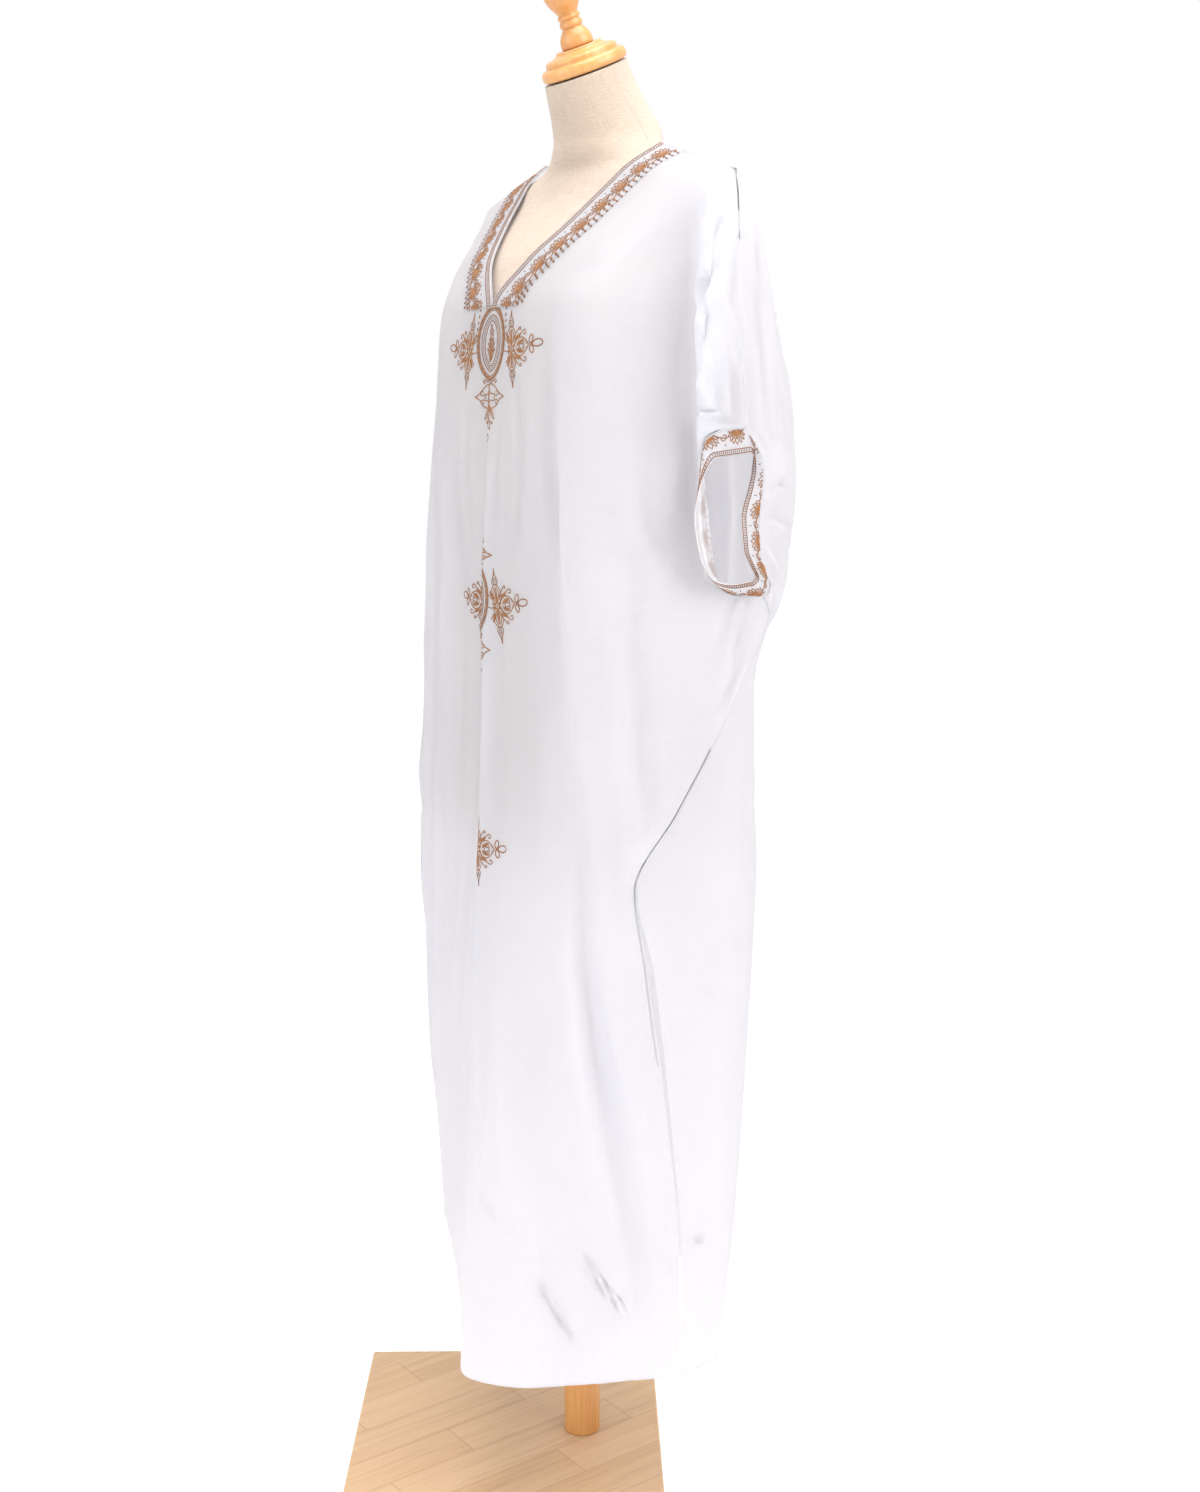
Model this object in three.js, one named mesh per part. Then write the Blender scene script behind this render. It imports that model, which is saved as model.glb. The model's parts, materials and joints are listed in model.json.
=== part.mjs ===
// A white batwing kaftan dress, worn by a limbless dress form on a turned wooden stand.
// Millimetres, +Z up. The wearer faces -Y and the wearer's left is +X.
// The origin lies on the floor, under the middle of the pole.

import * as THREE from 'three';

// ---- driving dimensions ----------------------------------------------------------------

const NECK_Z = 1534;            // height of the side neck points
const HEM_Z = 214;              // height of the hem
const V_DEPTH = 170;            // drop from the side neck point to the bottom of the V
const BACK_NECK_RISE = 18;      // centre back neck above the side neck points
const LENGTH = NECK_Z - HEM_Z;

const WALL = 2;                 // cloth
const BAND_WALL = 1;            // the border strips laid round the neck
const SEAM_GAP = 0.3;
const BAND_W = 47;              // border strip round the neck, measured level across it
const LAY = 0.3;                // gap between a strip and the panel that it lies on

const LEFT = 1;
const RIGHT = -1;

const POLE_R = 21.5;
const BASE = { size: 371, thick: 30, turn: 53.8, offR: -91, offT: -5.5, bevel: 3 };
const FORM_FOOT_Z = 770;
const NECK_TILT = 23.6;         // degrees that the neck's top leans forward
const CAP_CENTRE = { y: 8.5, z: 1620 };

// ---- tables: each row is a section, each first column is the drop below the neck point ----

function table(names, rows) {
  const keys = names.split(' ');
  const knots = rows.map((row) => row[0]);
  const tracks = {};
  keys.slice(1).forEach((key, i) => {
    tracks[key] = track(knots, rows.map((row) => row[i + 1]));
  });
  return tracks;
}

// Front panel: root is the V edge and, below it, the root of the centre lap.
const FRONT = table('drop rootX rootY lapX lapY midX midY farMidY sideX sideY farSideY', [
  [0, 101.5, 30, 101.5, 30, 152, 29.6, 29.6, 174, 29.4, 29.4],
  [24, 88, -4.5, 88, -4.5, 142, -0.5, -0.5, 168, 4, 4.5],
  [44, 79, -23.5, 79, -23.5, 134, -18.5, -18.5, 162, -12.5, -12.5],
  [84, 59, -60.5, 59, -60.5, 114, -54, -53, 156, -43, -40],
  [124, 31, -95.5, 31, -95.5, 94, -89, -88, 152, -70, -67],
  [170, 0, -116, 0, -116, 72, -113.5, -113, 150, -92, -86],
  [250, 0, -119, 0, -121, 74, -121, -120, 152, -103, -94],
  [350, 3, -117, -1, -125, 82, -120, -120, 156, -112, -102],
  [450, 9, -116, -3, -131, 88, -117, -118, 160, -118, -107],
  [560, 10, -117, -3, -133, 88, -118, -119, 162, -123, -111],
  [700, 10, -120, -2, -137, 88, -128, -123, 162, -130, -115],
  [860, 12, -134, 0, -149, 88, -153, -132, 160, -144, -115],
  [1020, 20, -152, 14, -165, 90, -184, -142, 158, -162, -114],
  [1180, 24, -172, 34, -187, 92, -208, -139, 150, -182, -100],
  [1320, 26, -190, 60, -212, 94, -226, -112, 146, -196, -74],
]);

// Front panel's side: hollow between body and sleeve, fold of the sleeve, side edge.
const FRONT_SIDE = table('drop hollowX hollowY hollowZ foldX foldY foldZ edgeX edgeY edgeZ', [
  [0, 194, 29.3, 1504, 212, 29.1, 1498.2, 225, 29, 1494],
  [24, 198, 12, 1493, 219, 17, 1485, 231, 28, 1478],
  [44, 201, 3, 1478, 224, 5, 1470, 236, 26, 1462],
  [90, 204, -4, 1436, 234, -8, 1428, 243, 22, 1420],
  [150, 206, -6, 1378, 239, -20, 1372, 248, 18, 1362],
  [210, 208, -6, 1320, 241, -27, 1316, 250, 18, 1306],
  [262, 209, -6, 1268, 240, -29, 1276, 248, 25, 1264],
  [284, 209, -5, 1246, 239, -28, 1262, 244, 30, 1238],
  [305, 208, -3, 1226, 239, -27, 1251, 243, 4, 1235],
  [325, 208, -2, 1206, 235, -26, 1237, 237, -19, 1224],
  [345, 208, 0, 1186, 227, -18, 1211, 230, -17, 1200],
  [380, 209, 4, 1152, 219, -4, 1160, 224, -2, 1151],
  [420, 210, 4, 1114, 218, 0, 1112, 225, 4, 1107],
  [450, 212, -6, 1084, 220, 3, 1080, 228, 12, 1076],
  [475, 214, -16, 1058, 226, 10, 1058, 234, 34, 1066],
  [492, 215, -24, 1040, 229, 10, 1044, 238, 60, 1064],
  [510, 216, -30, 1022, 231, 8, 1026, 239, 70, 1046],
  [560, 215, -44, 974, 230, -6, 974, 238, 36, 982],
  [620, 212, -60, 914, 227, -26, 914, 236, 6, 922],
  [700, 200, -92, 834, 215, -66, 834, 226, -40, 842],
  [770, 190, -104, 764, 203, -97, 764, 214, -86, 764],
  [860, 194, -114, 674, 211, -99, 674, 225, -79, 674],
  [1020, 198, -122, 514, 216, -92, 514, 231, -57, 514],
  [1180, 194, -132, 354, 215, -88, 354, 236, -43, 354],
  [1320, 182, -140, 214, 212, -84, 214, 236, -42, 214],
]);

// How far the wearer's right side hangs behind the mirror image of the left.
const FAR = table('drop hollow fold edge', [
  [0, 0, 0, 0],
  [24, 0, 8, 0],
  [44, 5, 14, 2],
  [84, 4, 18, 4],
  [150, 4, 2, 2],
  [250, 0, 0, 0],
  [700, 0, 0, 0],
  [860, 20, 14, 0],
  [1020, 36, 18, 2],
  [1180, 52, 28, 10],
  [1320, 94, 60, 42],
]);

// Back panel: centre back, shoulder blade, and the stretch under the neck point.
const BACK = table('drop midY bladeX bladeY neckX neckY neckZ', [
  [0, 104, 58, 84, 101.5, 30, 1534],
  [24, 105, 60, 92, 106, 52, 1516],
  [44, 106, 62, 98, 110, 68, 1495],
  [90, 109, 64, 107, 120, 92, 1448],
  [150, 112, 66, 115, 130, 110, 1386],
  [262, 115, 70, 121, 140, 124, 1272],
  [380, 113, 70, 121, 140, 128, 1154],
  [492, 110, 70, 117, 138, 124, 1042],
  [620, 112, 72, 117, 136, 118, 914],
  [770, 122, 74, 124, 136, 118, 764],
  [1020, 138, 78, 136, 136, 114, 514],
  [1320, 150, 80, 142, 136, 104, 214],
]);

// Back panel's side: the wing that hangs behind the arm, its outer face, side edge.
const BACK_SIDE = table('drop wingX wingY wingZ faceX faceY faceZ edgeX edgeY edgeZ', [
  [0, 150, 29.6, 1518.3, 195, 29.2, 1503.7, 225, 29, 1494],
  [24, 168, 48, 1508, 212, 44, 1493, 231, 28, 1478],
  [44, 176, 62, 1488, 220, 52, 1474, 236, 26, 1462],
  [90, 185, 82, 1434, 230, 58, 1426, 243, 22, 1420],
  [150, 192, 100, 1372, 236, 70, 1366, 248, 18, 1362],
  [210, 198, 115, 1312, 240, 78, 1308, 250, 18, 1306],
  [262, 202, 126, 1262, 243, 82, 1258, 248, 25, 1264],
  [284, 203, 130, 1238, 244, 82, 1236, 244, 30, 1238],
  [305, 204, 132, 1220, 245, 82, 1218, 246, 42, 1222],
  [325, 205, 133, 1204, 246, 83, 1202, 247, 52, 1204],
  [345, 206, 133, 1186, 246, 83, 1184, 247, 53, 1184],
  [380, 207, 131, 1150, 246, 82, 1150, 247, 47, 1148],
  [420, 205, 127, 1112, 244, 82, 1112, 247, 49, 1112],
  [450, 203, 124, 1082, 242, 86, 1084, 245, 60, 1088],
  [475, 201, 116, 1058, 239, 86, 1062, 241, 66, 1072],
  [492, 199, 109, 1042, 236, 82, 1046, 238, 60, 1064],
  [510, 195, 100, 1024, 231, 76, 1028, 239, 70, 1046],
  [560, 187, 94, 974, 224, 64, 976, 238, 36, 982],
  [620, 186, 96, 914, 226, 54, 918, 236, 6, 922],
  [700, 188, 97, 834, 233, 34, 838, 226, -40, 842],
  [770, 190, 96, 764, 237, 14, 764, 214, -86, 764],
  [860, 187, 94, 674, 239, 12, 674, 226.5, -72.5, 674],
  [1020, 182, 89, 514, 238, 14, 514, 232.5, -54.3, 514],
  [1180, 176, 83, 354, 233, 19, 354, 236.8, -40.8, 354],
  [1320, 165, 77, 214, 222, 28, 214, 236.8, -39.8, 214],
]);

// Free edge of a cuff's opening, against the drop of the seam that it joins.
const CUFF_FRONT = table('drop edgeX edgeY edgeZ', [
  [284, 243, 38, 1212],
  [305, 242, 10, 1209],
  [325, 241, -8, 1207],
  [345, 240, -26, 1180],
  [380, 240, -33, 1148],
  [420, 240, -26, 1111],
  [450, 241, -6, 1083],
  [475, 242, 18, 1079],
  [492, 243, 40, 1081],
]);
const CUFF_BACK = table('drop edgeX edgeY edgeZ', [
  [284, 243, 38, 1212],
  [305, 238, 48, 1207],
  [325, 234, 48, 1194],
  [345, 236, 41, 1176],
  [380, 246, 22, 1144],
  [420, 248, 24, 1116],
  [450, 247, 36, 1096],
  [475, 245, 44, 1086],
  [492, 243, 40, 1081],
]);

// Rows of cloth: from one drop to the next in so many steps.
const CUFF_TOP = 284;
const CUFF_FOOT = 492;
const SLIT_TOP = 770;
const ROW_RANGES = [
  { from: 0, to: V_DEPTH, steps: 7 },
  { from: V_DEPTH, to: CUFF_TOP, steps: 4 },
  { from: CUFF_TOP, to: CUFF_FOOT, steps: 12 },
  { from: CUFF_FOOT, to: SLIT_TOP, steps: 5 },
  { from: SLIT_TOP, to: LENGTH, steps: 6 },
];
const ROWS = ROW_RANGES.flatMap(({ from, to, steps }, i) => {
  const first = i === 0 ? 0 : 1;
  return Array.from({ length: steps + 1 - first }, (_, k) => mix(from, to, (k + first) / steps));
});
const BORDER_STEPS = 3;         // columns under the border strip, next to the inner edge
const BORDER_STOPS = Array.from({ length: BORDER_STEPS + 1 }, (_, k) => BAND_W * k / BORDER_STEPS);
const FRONT_STEPS = [1, 2, 3, 4, 6];   // columns in each stretch from there to the side edge
const BACK_STEPS = [2, 2, 3, 4, 5];

// Large folds: a path from one drop to another, how far it lies from the panel's inner
// edge at both ends, and its depth (a trough is negative) and half width.
const FRONT_FOLDS = {
  [LEFT]: [
    { name: 'main trough', from: 150, to: 1290, a: 92, b: 270, depth: -9, width: 17 },
    { name: 'ridge beside it', from: 200, to: 1300, a: 119, b: 301, depth: 5, width: 16 },
    { name: 'trough under the arm', from: 380, to: 900, a: 234, b: 282, depth: -4, width: 18 },
    { name: 'inner trough', from: 420, to: 1120, a: 52, b: 78, depth: -4, width: 13 },
    { name: 'skirt trough', from: 860, to: 1330, a: 138, b: 166, depth: -4, width: 16 },
  ],
  [RIGHT]: [
    { name: 'soft trough', from: 330, to: 1000, a: 74, b: 92, depth: -6, width: 15 },
    { name: 'flank trough', from: 180, to: 1330, a: 140, b: 168, depth: -7, width: 18 },
    { name: 'side trough', from: 700, to: 1330, a: 214, b: 236, depth: -6, width: 16 },
  ],
};
const BACK_FOLDS = {
  [LEFT]: [
    { name: 'centre trough', from: 160, to: 1330, a: 26, b: 34, depth: -8, width: 17 },
    { name: 'blade trough', from: 220, to: 1330, a: 96, b: 118, depth: -9, width: 18 },
    { name: 'wing trough', from: 120, to: 620, a: 158, b: 164, depth: -5, width: 14 },
    { name: 'skirt trough', from: 640, to: 1330, a: 196, b: 200, depth: -5, width: 16 },
  ],
  [RIGHT]: [
    { name: 'middle trough', from: 200, to: 1330, a: 52, b: 66, depth: -8, width: 16 },
    { name: 'blade trough', from: 140, to: 1100, a: 118, b: 128, depth: -8, width: 17 },
    { name: 'wing trough', from: 150, to: 660, a: 166, b: 170, depth: -5, width: 14 },
    { name: 'skirt trough', from: 560, to: 1330, a: 182, b: 204, depth: -7, width: 17 },
  ],
};

// Gathers above a cuff: waves side by side, which grow from one drop to another, die out by
// the foot, and reach so far from the side edge.
const GATHERS = { from: 150, to: 280, foot: 330, reach: 75, pitch: 25, depth: 2.4 };
const FOLD_FADE = 130;          // a fold grows and dies out over this much of its length
const FOLD_MARGIN = 30;         // and this near to a panel's edges it is flat
const NECK_CORNER_FADE = 60;    // below this drop the back neck's corner is gone
const BLADE_SHARE = 0.3;        // how far down the back neck's curve the blade points lie
const FINE_STEPS = 14;          // straight pieces that stand for each stretch of a row
const FRONT_OUTER = 5;          // a front row's controls from the middle of the chest outwards
const SEAM_EASE = 0.25;         // a sewn rim draws back by this much more than half the gap
const CUFF_EASE = 1.0;          // a cuff draws back further, for the sharp turn at its seam
const SHOULDER_LEAN = 0.32;     // sideways fall of the shoulder seams
const CUFF_SHARES = [0, 0.5, 1];   // rings of a cuff, from its seam to its free edge
const BAND_INSET = 0.6;         // the V's raw edge shows this far beyond the border strip

// Bare form, from the foot up: height, middle, half width, half depth, squareness, tilt.
const FORM_RINGS = [
  [770, 0, 140, 92, 2.2, 0],
  [792, 0, 158, 103, 2.2, 0],
  [850, 0, 165, 107, 2.3, 0],
  [940, -2, 156, 99, 2.2, 0],
  [1060, -2, 128, 82, 2.1, 0],
  [1120, -4, 124, 82, 2.1, 0],
  [1200, -8, 134, 90, 2.1, 0],
  [1290, -10, 150, 99, 2.1, 0],
  [1364, -5, 166, 103, 2.1, 0],
  [1410, 5, 172, 94, 2.1, 0],
  [1430, 9, 178, 84, 2.0, 0],
  [1450, 14, 185, 72, 1.9, 0],
  [1470, 20, 190, 60, 1.8, 0],
  [1484, 22, 189, 50, 1.75, 0],
  [1497, 22, 181, 42, 1.7, 0],
  [1508, 25, 152, 39, 1.6, 0],
  [1518, 31, 116, 43, 1.6, 2],
  [1530, 36, 88, 52, 1.7, 4],
  [1548, 38, 69, 57, 1.9, 8],
  [1575, 28, 56, 53, 2, 14],
  [1600, 15.5, 49, 49, 2, 20],
  [1618, 8, 46.5, 46.5, 2, NECK_TILT],
];

const FORM_SIDES = 40;
const ROUND_SIDES = 36;

// Turned pieces: radius and height, up their own axis.
const CAP_PROFILE = [
  [0, 0], [44, 0], [47.3, 3], [47.6, 8], [46, 12], [40, 13.5], [39.5, 18], [37.5, 20.5],
  [27, 22.5], [25.5, 26], [0, 26],
];
const FINIAL_PROFILE = [
  [0, 0], [17.5, 0], [17.8, 5], [15.5, 13], [10.8, 19], [11.4, 21], [12.6, 24], [11.4, 27],
  [10.8, 29], [12.4, 31.5], [10.6, 34], [13, 39], [18.5, 48], [20.8, 57], [21, 66], [20, 70],
  [21.5, 72], [21.5, 75], [19.6, 77], [17, 84], [11, 92], [0, 96],
];

// ---- curves ------------------------------------------------------------------------------

// A smooth run of values over rising knots, which never overshoots them.
function track(knots, values) {
  const n = knots.length;
  const slope = (i) => (values[i + 1] - values[i]) / (knots[i + 1] - knots[i]);
  const tangents = values.map((_, i) => {
    if (i === 0) return slope(0);
    if (i === n - 1) return slope(n - 2);
    const [a, b] = [slope(i - 1), slope(i)];
    return a * b <= 0 ? 0 : (2 * a * b) / (a + b);
  });
  return (at) => {
    let i = 0;
    while (i < n - 2 && at > knots[i + 1]) i += 1;
    const h = knots[i + 1] - knots[i];
    const t = (at - knots[i]) / h;
    return hermite(values[i], values[i + 1], tangents[i] * h, tangents[i + 1] * h, t);
  };
}

function hermite(p, q, mp, mq, t) {
  const [t2, t3] = [t * t, t * t * t];
  return (2 * t3 - 3 * t2 + 1) * p + (t3 - 2 * t2 + t) * mp + (3 * t2 - 2 * t3) * q + (t3 - t2) * mq;
}

function mix(a, b, t) {
  return a + (b - a) * t;
}

function smooth(a, b, at) {
  const t = Math.min(Math.max((at - a) / (b - a), 0), 1);
  return t * t * (3 - 2 * t);
}

// A level run through control points, knotted by the root of their spacing. A corner
// (0 to 1) at one of the points lets the run turn sharply there.
function rowCurve(points, corner = { index: -1, amount: 0 }) {
  const knots = [0];
  for (let i = 1; i < points.length; i += 1) {
    knots.push(knots[i - 1] + Math.sqrt(Math.max(points[i].distanceTo(points[i - 1]), 0.01)));
  }
  const chord = (i) => points[i + 1].clone().sub(points[i]).divideScalar(knots[i + 1] - knots[i]);
  const tangent = (i, side) => {
    if (i === 0) return chord(0);
    if (i === points.length - 1) return chord(i - 1);
    const before = chord(i - 1);
    const after = chord(i);
    const share = (knots[i + 1] - knots[i]) / (knots[i + 1] - knots[i - 1]);
    const even = before.clone().multiplyScalar(share).addScaledVector(after, 1 - share);
    return i === corner.index ? even.lerp(side < 0 ? before : after, corner.amount) : even;
  };
  return (span, t) => {
    const h = knots[span + 1] - knots[span];
    const [mp, mq] = [tangent(span, 1), tangent(span + 1, -1)];
    const [p, q] = [points[span], points[span + 1]];
    const axis = (k) => hermite(p[k], q[k], mp[k] * h, mq[k] * h, t);
    return new THREE.Vector3(axis('x'), axis('y'), axis('z'));
  };
}

// ---- panels --------------------------------------------------------------------------------

function sidePoint(source, name, drop) {
  return new THREE.Vector3(source[`${name}X`](drop), source[`${name}Y`](drop), source[`${name}Z`](drop));
}

function frontControls(drop, side) {
  const z = NECK_Z - drop;
  const near = side === LEFT;
  const hollow = sidePoint(FRONT_SIDE, 'hollow', drop);
  const rootX = near || drop < V_DEPTH ? FRONT.rootX(drop) : -FRONT.rootX(drop);
  const midY = near ? FRONT.midY(drop) : FRONT.farMidY(drop);
  const sideY = near ? FRONT.sideY(drop) : FRONT.farSideY(drop);
  const points = [new THREE.Vector3(rootX, FRONT.rootY(drop), z)];
  if (near && drop > V_DEPTH) points.push(new THREE.Vector3(FRONT.lapX(drop), FRONT.lapY(drop), z));
  const height = (x) => mix(z, hollow.z, (x - rootX) / (hollow.x - rootX));
  points.push(new THREE.Vector3(FRONT.midX(drop), midY, height(FRONT.midX(drop))));
  points.push(new THREE.Vector3(FRONT.sideX(drop), sideY, height(FRONT.sideX(drop))));
  const fold = sidePoint(FRONT_SIDE, 'fold', drop);
  const edge = sidePoint(FRONT_SIDE, 'edge', drop);
  points.push(hollow, fold, edge);
  if (!near) {
    hollow.y += FAR.hollow(drop);
    fold.y += FAR.fold(drop);
    edge.y += FAR.edge(drop);
  }
  return { points, mid: points.length - FRONT_OUTER, corner: { index: -1, amount: 0 } };
}

function backControls(drop, side) {
  const z = NECK_Z + BACK_NECK_RISE - drop * (LENGTH + BACK_NECK_RISE) / LENGTH;
  const neck = sidePoint(BACK, 'neck', drop);
  const edge = sidePoint(BACK_SIDE, 'edge', drop);
  if (side === RIGHT) edge.y += FAR.edge(drop);
  const points = [
    new THREE.Vector3(0, BACK.midY(drop), z),
    new THREE.Vector3(BACK.bladeX(drop), BACK.bladeY(drop), mix(z, neck.z, BLADE_SHARE)),
    neck,
    sidePoint(BACK_SIDE, 'wing', drop),
    sidePoint(BACK_SIDE, 'face', drop),
    edge,
  ];
  return { points, mid: 1, corner: { index: 2, amount: 1 - smooth(0, NECK_CORNER_FADE, drop) } };
}

// Points of one row, each with its distance along the cloth from the panel's inner edge.
function rowPoints({ points, mid, corner }, steps, border) {
  const curve = rowCurve(points, corner);
  const fine = [{ at: points[0].clone(), along: 0 }];
  const reach = [0];
  for (let span = 0; span < points.length - 1; span += 1) {
    for (let k = 1; k <= FINE_STEPS; k += 1) {
      const at = curve(span, k / FINE_STEPS);
      const last = fine[fine.length - 1];
      fine.push({ at, along: last.along + at.distanceTo(last.at) });
    }
    reach.push(fine[fine.length - 1].along);
  }
  const stops = border ? BORDER_STOPS.slice() : [0];
  steps.forEach((count, i) => {
    const start = i === 0 ? stops[stops.length - 1] : reach[mid + i - 1];
    for (let k = 1; k <= count; k += 1) stops.push(mix(start, reach[mid + i], k / count));
  });
  const whole = reach[reach.length - 1];
  return stops.map((along) => ({ at: pointAlong(fine, along), along, left: whole - along }));
}

function pointAlong(fine, along) {
  let i = 1;
  while (i < fine.length - 1 && fine[i].along < along) i += 1;
  const [a, b] = [fine[i - 1], fine[i]];
  return a.at.clone().lerp(b.at, Math.min(1, (along - a.along) / (b.along - a.along)));
}

// How far a row's point stands out from the smooth cloth, by the large folds on it.
function foldHeight(folds, drop, along, left) {
  let out = 0;
  for (const { from, to, a, b, depth, width } of folds) {
    const middle = mix(a, b, (drop - from) / (to - from));
    const ends = smooth(from, from + FOLD_FADE, drop) * (1 - smooth(to - FOLD_FADE, to, drop));
    out += depth * ends * Math.exp(-(((along - middle) / width) ** 2));
  }
  return out * smooth(0, FOLD_MARGIN, along) * smooth(0, FOLD_MARGIN, left);
}

// Waves of the sleeve where it is gathered into the cuff.
function gatherHeight(drop, left) {
  const { from, to, foot, reach, pitch, depth } = GATHERS;
  if (drop < from || drop > foot || left > reach) return 0;
  const grow = smooth(from, to, drop) * (1 - smooth(to, foot, drop));
  return depth * grow * Math.sin(2 * Math.PI * left / pitch) * smooth(reach, reach - pitch, left);
}

// ---- sheets and walls ------------------------------------------------------------------------

// Grids of points joined into one sheet. Points that coincide become one.
class Sheet {
  constructor() {
    this.points = [];
    this.faces = [];
    this.index = new Map();
    this.ease = SEAM_EASE;
  }

  vertex(at) {
    const key = [at.x, at.y, at.z].map((v) => Math.round(v * 1e4)).join(' ');
    if (!this.index.has(key)) {
      this.index.set(key, this.points.length);
      this.points.push(at.clone());
    }
    return this.index.get(key);
  }

  addGrid(grid, flip) {
    const ids = grid.map((row) => row.map((at) => this.vertex(at)));
    for (let r = 1; r < ids.length; r += 1) {
      for (let c = 1; c < ids[r].length; c += 1) {
        const quad = [ids[r - 1][c - 1], ids[r][c - 1], ids[r][c], ids[r - 1][c]];
        if (flip) quad.reverse();
        this.addFace(quad[0], quad[1], quad[2]);
        this.addFace(quad[0], quad[2], quad[3]);
      }
    }
    return ids;
  }

  addFace(a, b, c) {
    if (a !== b && b !== c && c !== a) this.faces.push([a, b, c]);
  }

  findNormals() {
    this.normals = this.points.map(() => new THREE.Vector3());
    for (const [a, b, c] of this.faces) {
      const ab = this.points[b].clone().sub(this.points[a]);
      const normal = ab.cross(this.points[c].clone().sub(this.points[a]));
      for (const id of [a, b, c]) this.normals[id].add(normal);
    }
    for (const normal of this.normals) normal.normalize();
  }

  rim() {
    const edges = new Set(this.faces.flatMap(([a, b, c]) => [`${a} ${b}`, `${b} ${c}`, `${c} ${a}`]));
    return [...edges].map((edge) => edge.split(' ').map(Number)).filter(([a, b]) => !edges.has(`${b} ${a}`));
  }
}

// Where the rims of sheets meet, they share a normal and draw back by half of the seam's gap.
function sew(sheets) {
  const meetings = new Map();
  sheets.forEach((sheet, s) => {
    const inward = rimInward(sheet);
    for (const [id, direction] of inward) {
      const key = ['x', 'y', 'z'].map((k) => Math.round(sheet.points[id][k] * 1e3)).join(' ');
      if (!meetings.has(key)) meetings.set(key, []);
      meetings.get(key).push({ sheet, s, id, direction });
    }
  });
  for (const group of meetings.values()) {
    if (group.length < 2) continue;
    const normal = new THREE.Vector3();
    for (const { sheet, id } of group) normal.add(sheet.normals[id]);
    normal.normalize();
    for (const { sheet, id, direction } of group) {
      direction.addScaledVector(normal, -direction.dot(normal)).normalize();
      sheet.points[id].addScaledVector(direction, SEAM_GAP / 2 + sheet.ease);
      sheet.normals[id].copy(normal);
    }
  }
}

// The shoulder seams: both panels end in upright faces, a seam's gap apart.
function squareShoulders({ sheet, ids }, away) {
  for (const side of [LEFT, RIGHT]) {
    const top = new THREE.Vector3(side * SHOULDER_LEAN, 0, 1).normalize();
    const seam = ids[side][0].filter((id) => Math.abs(sheet.points[id].x) > FRONT.rootX(0) - 0.01);
    for (const id of seam) {
      sheet.normals[id].copy(top);
      sheet.points[id].y += away * (SEAM_GAP / 2 + SEAM_EASE);
    }
  }
}

function rimInward(sheet) {
  const rim = sheet.rim();
  const tangents = new Map();
  for (const [a, b] of rim) {
    const along = sheet.points[b].clone().sub(sheet.points[a]);
    for (const id of [a, b]) tangents.set(id, (tangents.get(id) ?? new THREE.Vector3()).add(along));
  }
  const inward = new Map();
  for (const [id, along] of tangents) inward.set(id, sheet.normals[id].clone().cross(along).normalize());
  return inward;
}

// A closed wall of even thickness round a sheet.
function wall(sheet, thickness) {
  const count = sheet.points.length;
  const positions = [];
  for (const half of [thickness / 2, -thickness / 2]) {
    sheet.points.forEach((at, i) => {
      positions.push(...at.clone().addScaledVector(sheet.normals[i], half).toArray());
    });
  }
  const faces = sheet.faces.flatMap(([a, b, c]) => [a, b, c, a + count, c + count, b + count]);
  for (const [a, b] of sheet.rim()) faces.push(b, a, a + count, b, a + count, b + count);
  return solid(positions, faces);
}

function solid(positions, faces) {
  const geometry = new THREE.BufferGeometry();
  geometry.setAttribute('position', new THREE.Float32BufferAttribute(positions, 3));
  geometry.setIndex(faces);
  geometry.computeVertexNormals();
  return geometry;
}

const mirrored = (at, side) => new THREE.Vector3(side * at.x, at.y, at.z);

// ---- the dress -----------------------------------------------------------------------------

// One half of a panel: its smooth rows, pushed in and out along their normals by the folds.
function halfPanel(controls, steps, border, folds, side) {
  const rows = ROWS.map((drop) => rowPoints(controls(drop, side), steps, border));
  const plain = new Sheet();
  const ids = plain.addGrid(rows.map((row) => row.map(({ at }) => at)), false);
  plain.findNormals();
  return rows.map((row, r) => row.map(({ at, along, left }, c) => {
    const height = foldHeight(folds, ROWS[r], along, left) + gatherHeight(ROWS[r], left);
    return mirrored(at.clone().addScaledVector(plain.normals[ids[r][c]], height), side);
  }));
}

function panel(controls, steps, border, folds, inward) {
  const sheet = new Sheet();
  const ids = {};
  for (const side of [LEFT, RIGHT]) {
    const grid = halfPanel(controls, steps, border, folds[side], side);
    ids[side] = sheet.addGrid(grid, side === inward);
  }
  sheet.findNormals();
  return { sheet, ids };
}

// A cuff is a short tube, from the seam round the end of the sleeve to its free edge.
function cuffBand(side) {
  const drops = ROWS.filter((drop) => drop >= CUFF_TOP && drop <= CUFF_FOOT);
  const run = (panel, cuff) => drops.map((drop) => {
    const seam = sidePoint(panel, 'edge', drop);
    const edge = sidePoint(cuff, 'edge', drop);
    return CUFF_SHARES.map((share) => mirrored(seam.clone().lerp(edge, share), side));
  });
  const sheet = new Sheet();
  sheet.addGrid(run(FRONT_SIDE, CUFF_FRONT), side === RIGHT);
  sheet.addGrid(run(BACK_SIDE, CUFF_BACK), side === LEFT);
  sheet.ease = CUFF_EASE;
  sheet.findNormals();
  return sheet;
}

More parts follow.
